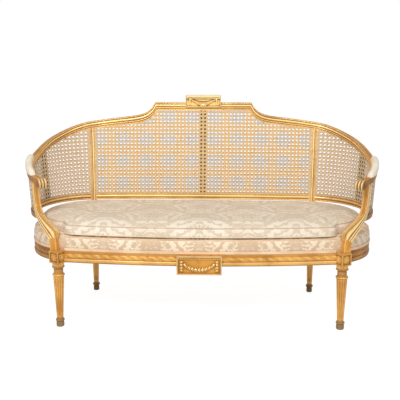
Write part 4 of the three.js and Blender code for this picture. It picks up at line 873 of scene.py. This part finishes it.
front_stations = even(-FRONT_BLOCK + BLOCK_JOINT, FRONT_BLOCK - BLOCK_JOINT, 2)
Work().skin(**rail_rings(on_front, front_stations, RAIL_DEPTH)).piece(
    "front_rail_carving", GILT_CARVED, "gilt_wood", ["front_seat_rail"], relief=80)
Work().skin(**rail_rings(on_seat, even(STILE + 22, SIDE_BLOCK - BLOCK_JOINT, 2), DEPTH)).pair(
    "rail_carving", GILT_CARVED, "gilt_wood", "seat_rail", relief=80, shell=0.8)
Work().skin(**rail_rings(on_seat, even(-STILE + 22, STILE - 22, 20), DEPTH, carved=False)).piece(
    "rear_rail_moulding", GILT, "gilt_wood", ["rear_seat_rail"], relief=80)


# ---------------------------------------------------------------- tablets
def rim(grid):
    """The edge of a grid of points, once round."""
    return np.concatenate([grid[0, :-1], grid[:-1, -1], grid[-1, :0:-1], grid[:0:-1, 0]])


def tablet(point, carving, half, low, high, face, back):
    """Tablet whose face is a relief: a grid over its width and height, moved out by the carving."""
    across, up = even(-half, half, 1.2), even(low, high, 1.2)
    s, z = np.meshgrid(across, up)
    edge = np.minimum(half - np.abs(s), np.minimum(z - low, high - z))
    height, tone = carving(s, z - (low + high) / 2, edge)
    front = point(s, face + height * np.sign(face - back), z)
    rear = point(s, back + 0 * s, z)
    work = Work()
    work.skin(front, closed=False, capped=False, tone=tone)
    work.skin([rim(front), rim(rear)], capped=False)
    welded(work.bm)
    return work


def swag(x, y, half, top, sag, thick):
    """Hanging festoon: folds that follow its curve, thick in the middle and thin at the ends."""
    share = np.clip(1 - (x / half) ** 2, 0, 1)
    off = (y - (top - sag * share)) / (thick * (0.35 + 0.65 * share))
    return dome(off, 0, 1) * (np.abs(x) < half) * (0.72 + 0.28 * np.cos(off * 9))


def crest_carving(s, y, edge):
    """Cornice over a sunk field with a draped festoon, a knot in its middle and a tail at each side."""
    along = np.abs(s)
    cornice = (y > 13) * (5.5 + 1.6 * np.cos((y - 13) * pi / 5.5))
    border = (1 - smoothstep(4, 5.2, edge)) * (4.6 + (edge > 1.2) * 0.8)
    drape = swag(s, y, 60, 9, 22, 9) * 5.4
    tail = dome(along, 66, 5.5) * dome(y, -2, 17) * (3.4 + 1.2 * np.sin(y * 1.1))
    knot = np.maximum(ball(s, y + 17, 7.5) * 6, ball(along - 10, y + 19, 5.5) * 4.6)
    corner = ball(along - 66, y - 8, 6) * 5.6
    height = np.maximum.reduce([cornice, border, drape, tail, knot, corner, 0.5 + 0 * s])
    # Painted shade beside the festoon and in dashes along the border, painted highlight on the raised carving
    shaded = (swag(s, y, 62, 10.5, 22, 13) > 0) * (height < 1.2)
    dashes = 0.35 * np.cos(s * 2 * pi / 9)
    return height, np.where(edge < 4.6, dashes - 0.3, np.clip(height * 0.24 - 0.3, -0.15, 0.95) - shaded * 0.6)


def apron_carving(s, y, edge):
    """Band of leaves over a plain field, with a festoon of flowers hung between two falls of flowers."""
    along = np.abs(s)
    hook, side_fall = 64, 77
    border = (1 - smoothstep(4.5, 6, edge)) * (5 + (edge > 1.5) * 0.8)
    share = np.clip(1 - (s / hook) ** 2, 0, 1)
    across = (y - 1 + 21 * share) / (0.6 + 0.4 * share)
    bloom = repeated(s, 14.5)
    petals = 1 + 0.18 * np.cos(5 * np.arctan2(across, bloom + 1e-6))
    flower = ball(bloom, across, 8.2 * petals) * 6.4 - ball(bloom, across, 2.4) * 3.6
    leaves = dome(np.abs(across), 8.5, 4.8) * (2.1 + 1.9 * np.cos(s * 2 * pi / 7.25)) * (share > 0.02)
    garland = np.where(along < hook, np.maximum(flower, leaves), 0)
    fall = np.abs(y + 3) < 25
    drop = repeated(y + 3 + 6.25, 12.5)
    beside = along - side_fall
    bud = (ball(beside, drop, 6.4) * 6.4 - ball(beside, drop, 2) * 3) * fall
    frill = dome(np.abs(beside), 6.5, 3.2) * (1.8 + 1.7 * np.cos(y * 2 * pi / 6.25)) * fall
    band = dome(y, 30, 3.6) * (3.2 + 1.6 * np.cos(s * 2 * pi / 8)) * (edge > 5)
    pin = ball(along - 63, y - 5, 6) * 6.4
    height = np.maximum.reduce([border, garland, bud, frill, band, pin, 0.6 + 0 * s])
    # Painted shade on the ground beside the garland and the falls, painted highlight on the raised carving
    near = np.maximum((np.abs(across) < 11) * (along < hook), fall * (np.abs(beside) < 8.5))
    tone = np.where(height > 1.2, np.clip(height * 0.3 - 0.9, -0.5, 1), -0.05 - 0.7 * near)
    return height, np.where(edge < 5.5, -0.3, tone)


tablet(on_shell, crest_carving, half=87.5, low=933, high=992, face=-4.4, back=20).piece(
    "crest_tablet_carving", GILT_TABLET, "gilt_wood", ["crest_tablet"], relief=30, shell=0.6)
tablet(on_front, apron_carving, half=97.5, low=265, high=348, face=RAIL_DEPTH + 13, back=RAIL_DEPTH - 6).piece(
    "apron_tablet_carving", GILT_APRON, "gilt_wood", ["apron_tablet"], relief=60)


# ---------------------------------------------------------------- cane
CANE_PITCH, CANE_RISE, LEDGE = 18.3, 0.5, 5.0
FRONT_LAYER, REAR_LAYER = 4.6, 27.2
PANEL_EDGE = 14


def cane_strand(work, path, low, high, out, wide, panel, flip):
    """One strand: a line over the panel's lattice, kept where it lies inside the panel's edges."""
    start, end, bend = panel
    t = np.arange(low, high, 1.0)
    u, z = path(t)
    s = bend(u)
    kept = (s > start - LEDGE) & (s < end + LEDGE) & (z > LOWER_TOP - LEDGE) & (z < crest_bottom(s) + LEDGE)
    edges = np.flatnonzero(np.diff(np.r_[False, kept, False].astype(int)))
    half = CANE_PITCH / 2
    for first, last in zip(edges[::2], edges[1::2] - 1):
        if t[last] - t[first] < 4:
            continue
        marks = np.arange(math.ceil(t[first] / half) * half, t[last], half)
        run = np.r_[t[first], marks[(marks > t[first] + 1) & (marks < t[last] - 1)], t[last]]
        u, z = path(run)
        u2, z2 = path(run + 0.5)
        s, step_s, step_z = bend(u), bend(u2) - bend(u), z2 - z
        size = np.hypot(step_s, step_z)
        across_s, across_z = -step_z / size * wide / 2, step_s / size * wide / 2
        reach = out + 0.32 * np.cos(run / CANE_PITCH * pi + flip * pi)
        work.skin(np.stack([
            on_shell(s + across_s, reach + 0.2, z + across_z),
            on_shell(s + across_s * 0.5, reach - 0.35, z + across_z * 0.5),
            on_shell(s - across_s * 0.5, reach - 0.35, z - across_z * 0.5),
            on_shell(s - across_s, reach + 0.2, z - across_z)], 1))


def cane_panel(start, end, out, wide, bend):
    """Six-way caning: pairs of uprights and crosses, then both diagonals, over a lattice of even pitch."""
    work, panel, pitch = Work(), (start, end, bend), CANE_PITCH
    gap, low = 0.13 * pitch, LOWER_TOP - 8
    high = 925 if start < CREST_HALF else 860
    u_low, u_high = start - 60, end + 60
    columns = range(math.floor(u_low / pitch), math.ceil(u_high / pitch) + 1)
    rows = range(math.floor(low / pitch), math.ceil(high / pitch) + 1)
    for side in (-1, 1):
        for k in columns:
            place = k * pitch + side * gap
            cane_strand(work, lambda t: (place + 0 * t, t), low, high, out + 0.5, wide, panel, side > 0)
        for k in rows:
            place = (k + CANE_RISE) * pitch + side * gap
            cane_strand(work, lambda t: (t, place + 0 * t), u_low, u_high, out, wide, panel, side > 0)
        # A diagonal passes through the middle of each mesh's side
        for k in range(columns.start - rows.stop, columns.stop + rows.stop):
            place = (k + 0.5 + side * CANE_RISE) * pitch
            cane_strand(work, lambda t: (place - side * t, t), low, high, out - 0.45, wide, panel, side > 0)
    return work


EYE = np.array((94.4, -3556.6 - Y_SHIFT, 1264.3))
CANE_LEVEL = 660.0


def sight_line(out_near, out_far):
    """Stations of the rear layer's uprights, so that its holes lie behind the front layer's where the sofa
    is seen from the front, as a caner matches the two faces."""
    near = np.linspace(-1120, 1120, 1121)
    found = []
    for s in near:
        start = on_shell(s, out_near, CANE_LEVEL)
        heading = (start - EYE) / np.linalg.norm(start - EYE)
        options = s + np.linspace(-70, 70, 141)
        rays = on_shell(options, out_far, CANE_LEVEL) - start
        off = np.abs(np.cross(rays[:, :2], heading[:2]))
        found.append(options[np.argmin(off + 1000 * (rays @ heading < 0))])
    eased = np.convolve(np.pad(found, 10, "edge"), np.ones(21) / 21, "valid")
    return lambda u: np.interp(u, near, eased)


panel_end = SUPPORT - 16
panels = (("centre", -STILE + PANEL_EDGE, STILE - PANEL_EDGE), ("left", -panel_end, -STILE - PANEL_EDGE),
          ("right", STILE + PANEL_EDGE, panel_end))
layers = (("front", FRONT_LAYER, 2.45, CANE_FRONT, lambda u: u),
          ("rear", REAR_LAYER, 2.1, CANE_REAR, sight_line(FRONT_LAYER, REAR_LAYER)))
for layer, out, wide, finish, bend in layers:
    for side, start, end in panels:
        cane_panel(start, end, out, wide + 0.45 * (side == "centre"), bend).piece(
            f"{layer}_caning_{side}", finish, "cane", [f"{layer}_cane_{side}"])

pegs = Work()


def peg(s, z):
    turn = np.arange(6) * pi / 3
    pegs.skin([on_shell(s + radius * np.cos(turn), out, z + radius * np.sin(turn))
               for radius, out in ((2.1, 6.5), (2.1, 5.9), (1.2, 6.0))])


for k in range(-62, 63):
    s = (k + 0.5) * CANE_PITCH
    if abs(abs(s) - STILE) > 15 and abs(s) < SUPPORT - 20:
        peg(s, 502.8)
        if abs(s) > 92:
            peg(s, float(crest_bottom(s)) + 4.0)
for side in (-1, 1):
    for across in (-11.2, 11.2):
        for z in np.arange(LOWER_TOP + 14, float(crest_bottom(STILE)) - 4, CANE_PITCH):
            peg(side * (STILE + across), z)
pegs.piece("cane_pegs", PEG, "cane", crease=60)


# ---------------------------------------------------------------- upholstery
def outline(inset):
    """Outline of the seat frame from above, drawn in by a distance, with its points evenly apart."""
    right = on_seat(even(0, SIDE_BLOCK, 12), DEPTH - inset, 0)[:, :2]
    front = on_front(even(FRONT_BLOCK, -FRONT_BLOCK, 12), RAIL_DEPTH - inset, 0)[:, :2]
    corner = right[right[:, 1] > front_edge(right[:, 0], inset) + 4]
    reach = corner[-1, 0] - 4
    left = (corner[1:] * (-1, 1))[::-1]
    return evened(np.concatenate([corner, front[np.abs(front[:, 0]) < reach], left]), 420)


def evened(loop, count):
    """The same outline, with a number of points evenly apart."""
    closed = np.concatenate([loop, loop[:1]])
    length = np.r_[0, np.cumsum(np.linalg.norm(np.diff(closed, axis=0), axis=1))]
    goal = np.linspace(0, length[-1], count, endpoint=False)
    return np.stack([np.interp(goal, length, closed[:, k]) for k in (0, 1)], 1)


def eased(loop, rounds):
    """An outline with its corners softened, more with each round."""
    for _ in range(rounds):
        loop = loop * 0.5 + 0.25 * (np.roll(loop, 1, 0) + np.roll(loop, -1, 0))
    return loop


def drawn_in(loop, inset):
    """An outline moved inwards, square to itself."""
    along = unit(np.roll(loop, -1, 0) - np.roll(loop, 1, 0))
    return loop + np.stack([-along[:, 1], along[:, 0]], 1) * inset


def clear_of(loop, centre, gap):
    """Pushes the points of an outline out of a circle."""
    apart = loop - centre
    size = np.linalg.norm(apart, axis=1)[:, None]
    return np.where(size < gap, centre + apart / size * gap, loop)


def at_height(loop, z):
    return np.column_stack([loop, np.full(len(loop), z)])


def stacked(steps, floor, outline_at):
    """A case over its floor. Each step is a rise and how far the outline is drawn in there."""
    return Work().skin([at_height(outline_at(inset), floor + rise) for rise, inset in steps])


# The cloth's pattern runs straight across the front. Past the front legs it follows the round end, in metres.
CLOTH_TURN, CLOTH_RADIUS, CLOTH_EDGE, CLOTH_FOOT = math.radians(65), 0.27, 0.012, 0.39


def lay_cloth(obj):
    """Gives each point its place on the cloth: round the sofa and up the border, or back over the top."""
    mesh = obj.data
    place = read(mesh)
    upright = np.abs(read(mesh, "normal")[:, 2]) < 0.6
    x, y = np.abs(place[:, 0]), place[:, 1] - Y_SHIFT / 1000
    angle = np.arctan2(y, x - END_X / 1000)
    turned = np.maximum(angle + CLOTH_TURN, 0) * CLOTH_RADIUS * (x > LEG_X / 1000)
    back = np.maximum(y - front_edge(np.minimum(x * 1000, LEG_X), 0) / 1000 - CLOTH_EDGE, 0)
    around = np.where(turned > 0, LEG_X / 1000 + turned, x + back) * np.sign(place[:, 0])
    u, v = np.where(upright, around, place[:, 0]), np.where(upright, place[:, 2] - CLOTH_FOOT, place[:, 1])
    data = mesh.attributes.new("cloth", "FLOAT_VECTOR", "POINT").data
    data.foreach_set("vector", np.stack([u, v, 0 * u], 1).astype(np.float32).ravel())


def remade(obj, kind, **settings):
    """Applies one modifier to a piece's mesh."""
    modifier = obj.modifiers.new(kind.lower(), kind)
    for key, value in settings.items():
        setattr(modifier, key, value)
    bpy.context.view_layer.update()
    evaluated = obj.evaluated_get(bpy.context.evaluated_depsgraph_get())
    mesh = bpy.data.meshes.new_from_object(evaluated)
    obj.modifiers.clear()
    old, obj.data = obj.data, mesh
    mesh.name = obj.name
    bpy.data.meshes.remove(old)
    mesh.polygons.foreach_set("use_smooth", [True] * len(mesh.polygons))
    return mesh


FRAMES = 20


def stuff(obj, held, cap, pressure, low, high):
    """Swells a sewn case as its filling does. Held points stay; no other moves further than the cap."""
    mesh = remade(obj, "REMESH", mode="VOXEL", voxel_size=0.0075)
    start = read(mesh)
    fast = held(start)
    group = obj.vertex_groups.new(name="held")
    for level in (0.5, 1.0):
        chosen = np.flatnonzero((fast >= level) & (fast < level + 0.5))
        group.add(chosen.tolist(), level, "REPLACE")
    cloth = obj.modifiers.new("cloth", "CLOTH")
    settings = {"vertex_group_mass": "held", "use_pressure": True, "uniform_pressure_force": pressure,
                "quality": 4, "mass": 0.25, "tension_stiffness": 12, "compression_stiffness": 12,
                "bending_stiffness": 0.4}
    for key, value in settings.items():
        setattr(cloth.settings, key, value)
    cloth.settings.effector_weights.gravity = 0
    cloth.collision_settings.use_collision = False
    cloth.point_cache.frame_start, cloth.point_cache.frame_end = 1, FRAMES
    for step in range(1, FRAMES + 1):
        bpy.context.scene.frame_set(step)
    end = read(obj.evaluated_get(bpy.context.evaluated_depsgraph_get()).data)
    obj.modifiers.clear()
    obj.vertex_groups.clear()
    bpy.context.scene.frame_set(1)
    move = end - start
    size = np.linalg.norm(move, axis=1)[:, None]
    move *= np.minimum(1, cap / np.maximum(size, 1e-9))
    settled = start + move
    settled[:, 2] = np.clip(settled[:, 2], low, high)
    write(mesh, settled)
    mesh.update()
    remade(obj, "SUBSURF", levels=1, render_levels=1)


def seat():
    """Fixed seat: upright sides that bulge a little, and a soft upper edge."""
    steps = [(0, 5), (6, 3), (20, 0), (34, -0.6), (46, 0.5), (56, 4), (64, 10), (69, 18), (72, 32), (72.7, 60),
             (73, 110), (73, 190)]
    return stacked(steps, SEAT_FOOT, lambda inset: eased(outline(inset + 2), 6 if inset > 4 else 2))


seat_piece = seat().piece("seat_stuffing", DAMASK_DARKER, "damask", ["seat_upholstery"], crease=60)
lay_cloth(seat_piece)


CORNER_ROUND = 46.0


def cushion_outline():
    right_notch = on_shell(station_at(-62.4 + 29.4 * 0.03), SUPPORT_REACH, 0)[:2]
    front_half, radius = LEG_X - 23, END_RADIUS - 20
    x = even(0, front_half - CORNER_ROUND, 20)
    front = np.stack([x, front_edge(x, 0)], 1)
    turns = np.radians(np.linspace(-49.2, 60, 30))
    arc = np.stack([END_X + radius * np.cos(turns), radius * np.sin(turns)], 1)
    corner = np.array((front_half, float(front_edge(front_half, 0))))
    turned = corner + (arc[0] - corner) * CORNER_ROUND / np.linalg.norm(arc[0] - corner)
    share = np.linspace(0, 1, 12)[1:-1, None]
    flank = np.concatenate([
        front[-1] * (1 - share) ** 2 + corner * 2 * share * (1 - share) + turned * share ** 2,
        turned + (arc[0] - turned) * np.linspace(0, 0.9, 8)[:, None]])
    behind = on_shell(even(station_at(70), 0, 40), -14, SEAT_TOP)[:, :2]
    right = np.concatenate([front, flank, arc])
    right = np.concatenate([clear_of(right, right_notch, 37), behind])
    left = (right[1:-1] * (-1, 1))[::-1]
    loop = eased(evened(np.concatenate([right, left]), 460), 14)
    for notch in (right_notch, right_notch * (-1, 1)):
        loop = clear_of(loop, notch, 35)
    return eased(loop, 3)


CUSHION_LOOP = cushion_outline()
CUSHION_FLOOR, LOWER_SEAM, UPPER_SEAM, CROWN_START = 425.3, 3.0, 42.0, 14


def crown_outline(inset):
    """The cushion's outline: drawn in a little way, and scaled towards its middle beyond that."""
    loop = eased(drawn_in(CUSHION_LOOP, min(inset, CROWN_START)), 4 if inset > 12 else 1)
    if inset <= CROWN_START:
        return loop
    middle = loop.mean(0)
    return middle + (loop - middle) * (1 - (inset - CROWN_START) / np.array((760, 300)))


def cushion():
    """Boxed cushion: a flat foot, a border that swells between its seams, and a full crown."""
    steps = [(0, 60), (0, 12), (1, 4), (LOWER_SEAM, 1.5), (9, 0.5), (22, 1.0), (36, 0.5), (UPPER_SEAM, 1.5),
             (47, 5), (52, 14), (56.5, 32), (59.5, 62), (61, 110), (61.5, 200)]
    return stacked(steps, CUSHION_FLOOR, crown_outline)


def cushion_held(place):
    """The foot lies on the seat, and the two seams are drawn tight by their welts."""
    z = place[:, 2] * 1000 - CUSHION_FLOOR
    seam = (near_edge(place) < 9) & ((np.abs(z - UPPER_SEAM) < 4.5) | (np.abs(z - LOWER_SEAM) < 4.5))
    return np.maximum(1.0 * (z < 2), 0.5 * seam)


def near_edge(place):
    """Distance of each point, seen from above, to the cushion's outline in millimetres."""
    tree = KDTree(len(CUSHION_LOOP))
    for k, (x, y) in enumerate(CUSHION_LOOP):
        tree.insert((x, y, 0), k)
    tree.balance()
    return np.array([tree.find((x * 1000, y * 1000 - Y_SHIFT, 0))[2] for x, y, _ in place])


def sew(obj):
    """Draws the case in along its upper seam, and stores a line of painted shade along that crease."""
    mesh = obj.data
    place, normal = read(mesh), read(mesh, "normal")
    off = np.abs(place[:, 2] * 1000 - CUSHION_FLOOR - UPPER_SEAM) + 40 * (near_edge(place) > 24)
    write(mesh, place - normal * (0.0026 * np.exp(-(off / 3.4) ** 2))[:, None])
    store(mesh, "seam", np.exp(-(off / 2.3) ** 2))
    mesh.update()


cushion_piece = cushion().piece("loose_cushion", DAMASK, "damask", ["seat_cushion"], "seat_cushion", crease=60)
stuff(cushion_piece, cushion_held, 0.010, 4.0, CUSHION_FLOOR / 1000, (CUSHION_FLOOR + 65) / 1000)
sew(cushion_piece)
lay_cloth(cushion_piece)


def welt(loop, z, radius):
    """Round cord along a level outline."""
    path = at_height(loop, z)
    run = unit(np.roll(path, -1, 0) - np.roll(path, 1, 0))
    side = unit(np.cross(run, (0, 0, 1.0)))
    up = np.cross(side, run)
    turn = circle(10)
    rings = (path[:, None] + side[:, None] * (np.cos(turn) * radius)[None, :, None]
             + up[:, None] * (np.sin(turn) * radius)[None, :, None])
    return Work().skin(np.concatenate([rings, rings[:1]]), capped=False)


welt(drawn_in(CUSHION_LOOP, 1.2), CUSHION_FLOOR + LOWER_SEAM, 2.4).piece(
    "cushion_welt", WELT, "damask", body="seat_cushion")
welt(eased(outline(8.2), 6), SEAT_FOOT + 62.0, 2.2).piece("seat_welt", BRAID, "damask")


def arm_pad():
    """Upholstered pad over the arm, round at both ends."""
    stations = np.linspace(station_at(6), SUPPORT, 90)
    turn = circle(40)
    rings = []
    for s, share in zip(stations, np.linspace(-1, 1, 90)):
        swell = max((1 - share ** 6) ** 0.5, 0.05)
        width = 16.5 * (0.5 + 0.5 * swell)
        across = np.sign(np.cos(turn)) * np.abs(np.cos(turn)) ** 0.8 * width
        rise = np.maximum(np.sin(turn), 0) ** 0.75 * 26 * swell
        rings.append(on_shell(s, 20 + across, crest_top(s) + 0.3 + rise))
    return Work().skin(rings)


for padding in arm_pad().pair("arm_padding", SILK, "plain_silk", "armrest_pad", crease=60):
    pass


def gimp(point, low, high, outer):
    """Braid: two cords with loops between them, along the foot of the seat."""
    proud = outer - 1.7
    across = np.linspace(0, 1, 15)
    section = np.array([0.0, 0.6, 1.6, 2.0, 1.5, 0.9, 1.3, 1.5, 1.3, 0.9, 1.5, 2.0, 1.6, 0.6, 0.0])
    rings = []
    for s in even(low, high, 2.2):
        wave = np.sin(s / 3.2 + across * 6) * 0.4 * np.sin(across * pi)
        face = point(s, proud + 0.4 + section + wave, SEAT_FOOT + across * 13)
        back = point(s, np.full(2, proud), SEAT_FOOT + np.array([13.0, 0.0]))
        rings.append(np.concatenate([face, back]))
    return Work().skin(rings)


gimp(on_front, -FRONT_BLOCK + 31, FRONT_BLOCK - 31, RAIL_DEPTH).piece(
    "front_braid", BRAID, "gimp", ["front_gimp"], crease=60)
gimp(on_seat, STILE + 15, SIDE_BLOCK - 29, DEPTH).pair("braid", BRAID, "gimp", "gimp", crease=60)
gimp(on_seat, -STILE + 15, STILE - 15, DEPTH).piece("rear_braid", BRAID, "gimp", ["rear_gimp"], crease=60)

# ---------------------------------------------------------------- webbing and hessian under the seat
WEB_WIDTH, WEB_SPACING = 60.0, 136.0
WEB_LOW, WEB_STEP = 348.4, 0.42
base_loop = outline(24.5)
for x, y, reach in ((LEG_X, LEG_Y, 42), (*REAR_LEG[:2], 36)):
    for side in (1, -1):
        base_loop = clear_of(base_loop, (side * x, y), reach)
base_low, base_high = base_loop.min(0), base_loop.max(0)


def reach_along(axis, at):
    """Where a straight line across the seat frame enters and leaves its rebate."""
    ahead = np.roll(base_loop, -1, 0)
    crossing = np.flatnonzero((base_loop[:, axis] - at) * (ahead[:, axis] - at) <= 0)
    a, b = base_loop[crossing], ahead[crossing]
    share = (at - a[:, axis]) / (b[:, axis] - a[:, axis] + 1e-9)
    met = a[:, 1 - axis] + share * (b[:, 1 - axis] - a[:, 1 - axis])
    return met.min(), met.max()


webs, web_area = Work(), 0.0
spans = base_high - base_low
middle_y = (base_low[1] + base_high[1]) / 2
centres = (0.0, middle_y)
gaps = [max(1, int((span - WEB_WIDTH) // WEB_SPACING)) for span in spans]
for axis, (centre, count) in enumerate(zip(centres, gaps)):
    for k in range(count + 1):
        at = centre + (k - count / 2) * WEB_SPACING
        edges = [reach_along(axis, at + side * WEB_WIDTH / 2) for side in (-1, 1)]
        low, high = max(e[0] for e in edges), min(e[1] for e in edges)
        along = even(low, high, 17)
        start = centres[1 - axis] - gaps[1 - axis] * WEB_SPACING / 2
        over = np.cos((along - start) / WEB_SPACING * pi + pi * (k + axis)) * WEB_STEP
        web_area += (high - low) * WEB_WIDTH
        rings = []
        for place, lift in zip(along, over):
            across = np.array([-1, -0.5, 0, 0.5, 1, 1, 0, -1]) * WEB_WIDTH / 2 + at
            z = WEB_LOW + 0.85 + lift + np.array([-1, -1, -1, -1, -1, 1, 1, 1]) * 0.35
            pair = (across, place + 0 * across) if axis == 0 else (place + 0 * across, across)
            rings.append(points(*pair, z))
        webs.skin(rings)
web_piece = webs.piece("webbing_straps", JUTE, "webbing", ["seat_webbing"])

sheet_rings = []
for share, z in [(s, 350.5) for s in (0.02, 0.35, 0.7, 1.0)] + [(s, 351.3) for s in (1.0, 0.7, 0.35, 0.02)]:
    sheet_rings.append(at_height(centres + (base_loop - centres) * share, z))
hessian_piece = Work().skin(sheet_rings).piece("hessian_sheet", HESSIAN, "hessian", ["seat_hessian"])
x, y = base_loop.T

# ---------------------------------------------------------------- plain hidden wood and fastenings
# The braces get a dark brown of painted shade
HIDDEN = {"_screw": STEEL, "_brace": BRACE_SHADE, "_block": BEECH, "_cross_rail": BEECH}
for name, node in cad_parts.items():
    for ending, finish in HIDDEN.items():
        if name.endswith(ending):
            for held in node.material_slots:
                held.material = finish

# ---------------------------------------------------------------- floor, light and camera
scene = bpy.context.scene
scene.view_settings.view_transform = "Standard"


def white_when_seen(name, colour, share):
    """Floor or backdrop: white to the camera and in reflections, and still shaded by the sofa."""
    made = Finish(name, Roughness=0.9)
    made.set("Base Color", colour)
    made.set("Specular IOR Level", 0.0)
    seen, glossy, clear = made.rays()
    shaded = Socket(made, made.shader.outputs[0])
    glow = made.node("ShaderNodeEmission", {"Color": (1, 1, 1), "Strength": 1.23})
    mixed = made.node("ShaderNodeMixShader", {0: (seen + glossy + clear) * share, 1: shaded, 2: glow})
    made.feed(made.tree.nodes["Material Output"].inputs[0], mixed)
    return made.material


floor_shape = bmesh.new()
bmesh.ops.create_grid(floor_shape, x_segments=1, y_segments=1, size=12)
floor_mesh = bpy.data.meshes.new("floor")
floor_shape.to_mesh(floor_mesh)
floor_shape.free()
floor = bpy.data.objects.new("floor", floor_mesh)
scene.collection.objects.link(floor)
floor_mesh.materials.append(white_when_seen("floor_white", (0.85, 0.85, 0.85), 0.76))

world = bpy.data.worlds.new("studio")
scene.world = world
world.use_nodes = True
sky = Nodes(world.node_tree)
background = sky.tree.nodes["Background"]
background.inputs["Color"].default_value = (1, 1, 1, 1)
seen, glossy, clear = sky.rays()
level = sky.node("ShaderNodeMapRange", {0: seen.high(glossy).high(clear), 3: 0.42, 4: 1.0})
sky.feed(background.inputs["Strength"], level)


def lamp(name, place, aim, size, power):
    light = bpy.data.lights.new(name, "AREA")
    light.shape = "RECTANGLE"
    light.size, light.size_y = size
    light.energy = power
    obj = bpy.data.objects.new(name, light)
    obj.location = place
    obj.rotation_euler = (Vector(aim) - Vector(place)).to_track_quat("-Z", "Y").to_euler()
    scene.collection.objects.link(obj)


lamp("key_light", (-1.1, -3.2, 3.0), (0, 0, 0.6), (0.8, 0.8), 84)
lamp("fill_light", (1.9, -3.0, 2.6), (0, 0, 0.6), (1.0, 1.0), 32)

camera_data = bpy.data.cameras.new("camera")
camera_data.lens, camera_data.sensor_width = 69.31, 36
camera = bpy.data.objects.new("camera", camera_data)
camera.location = (EYE + (0, Y_SHIFT, 0)) / 1000
camera.rotation_euler = (pi / 2 - 0.2052, -0.0011, 0.0286)
scene.collection.objects.link(camera)
scene.camera = camera
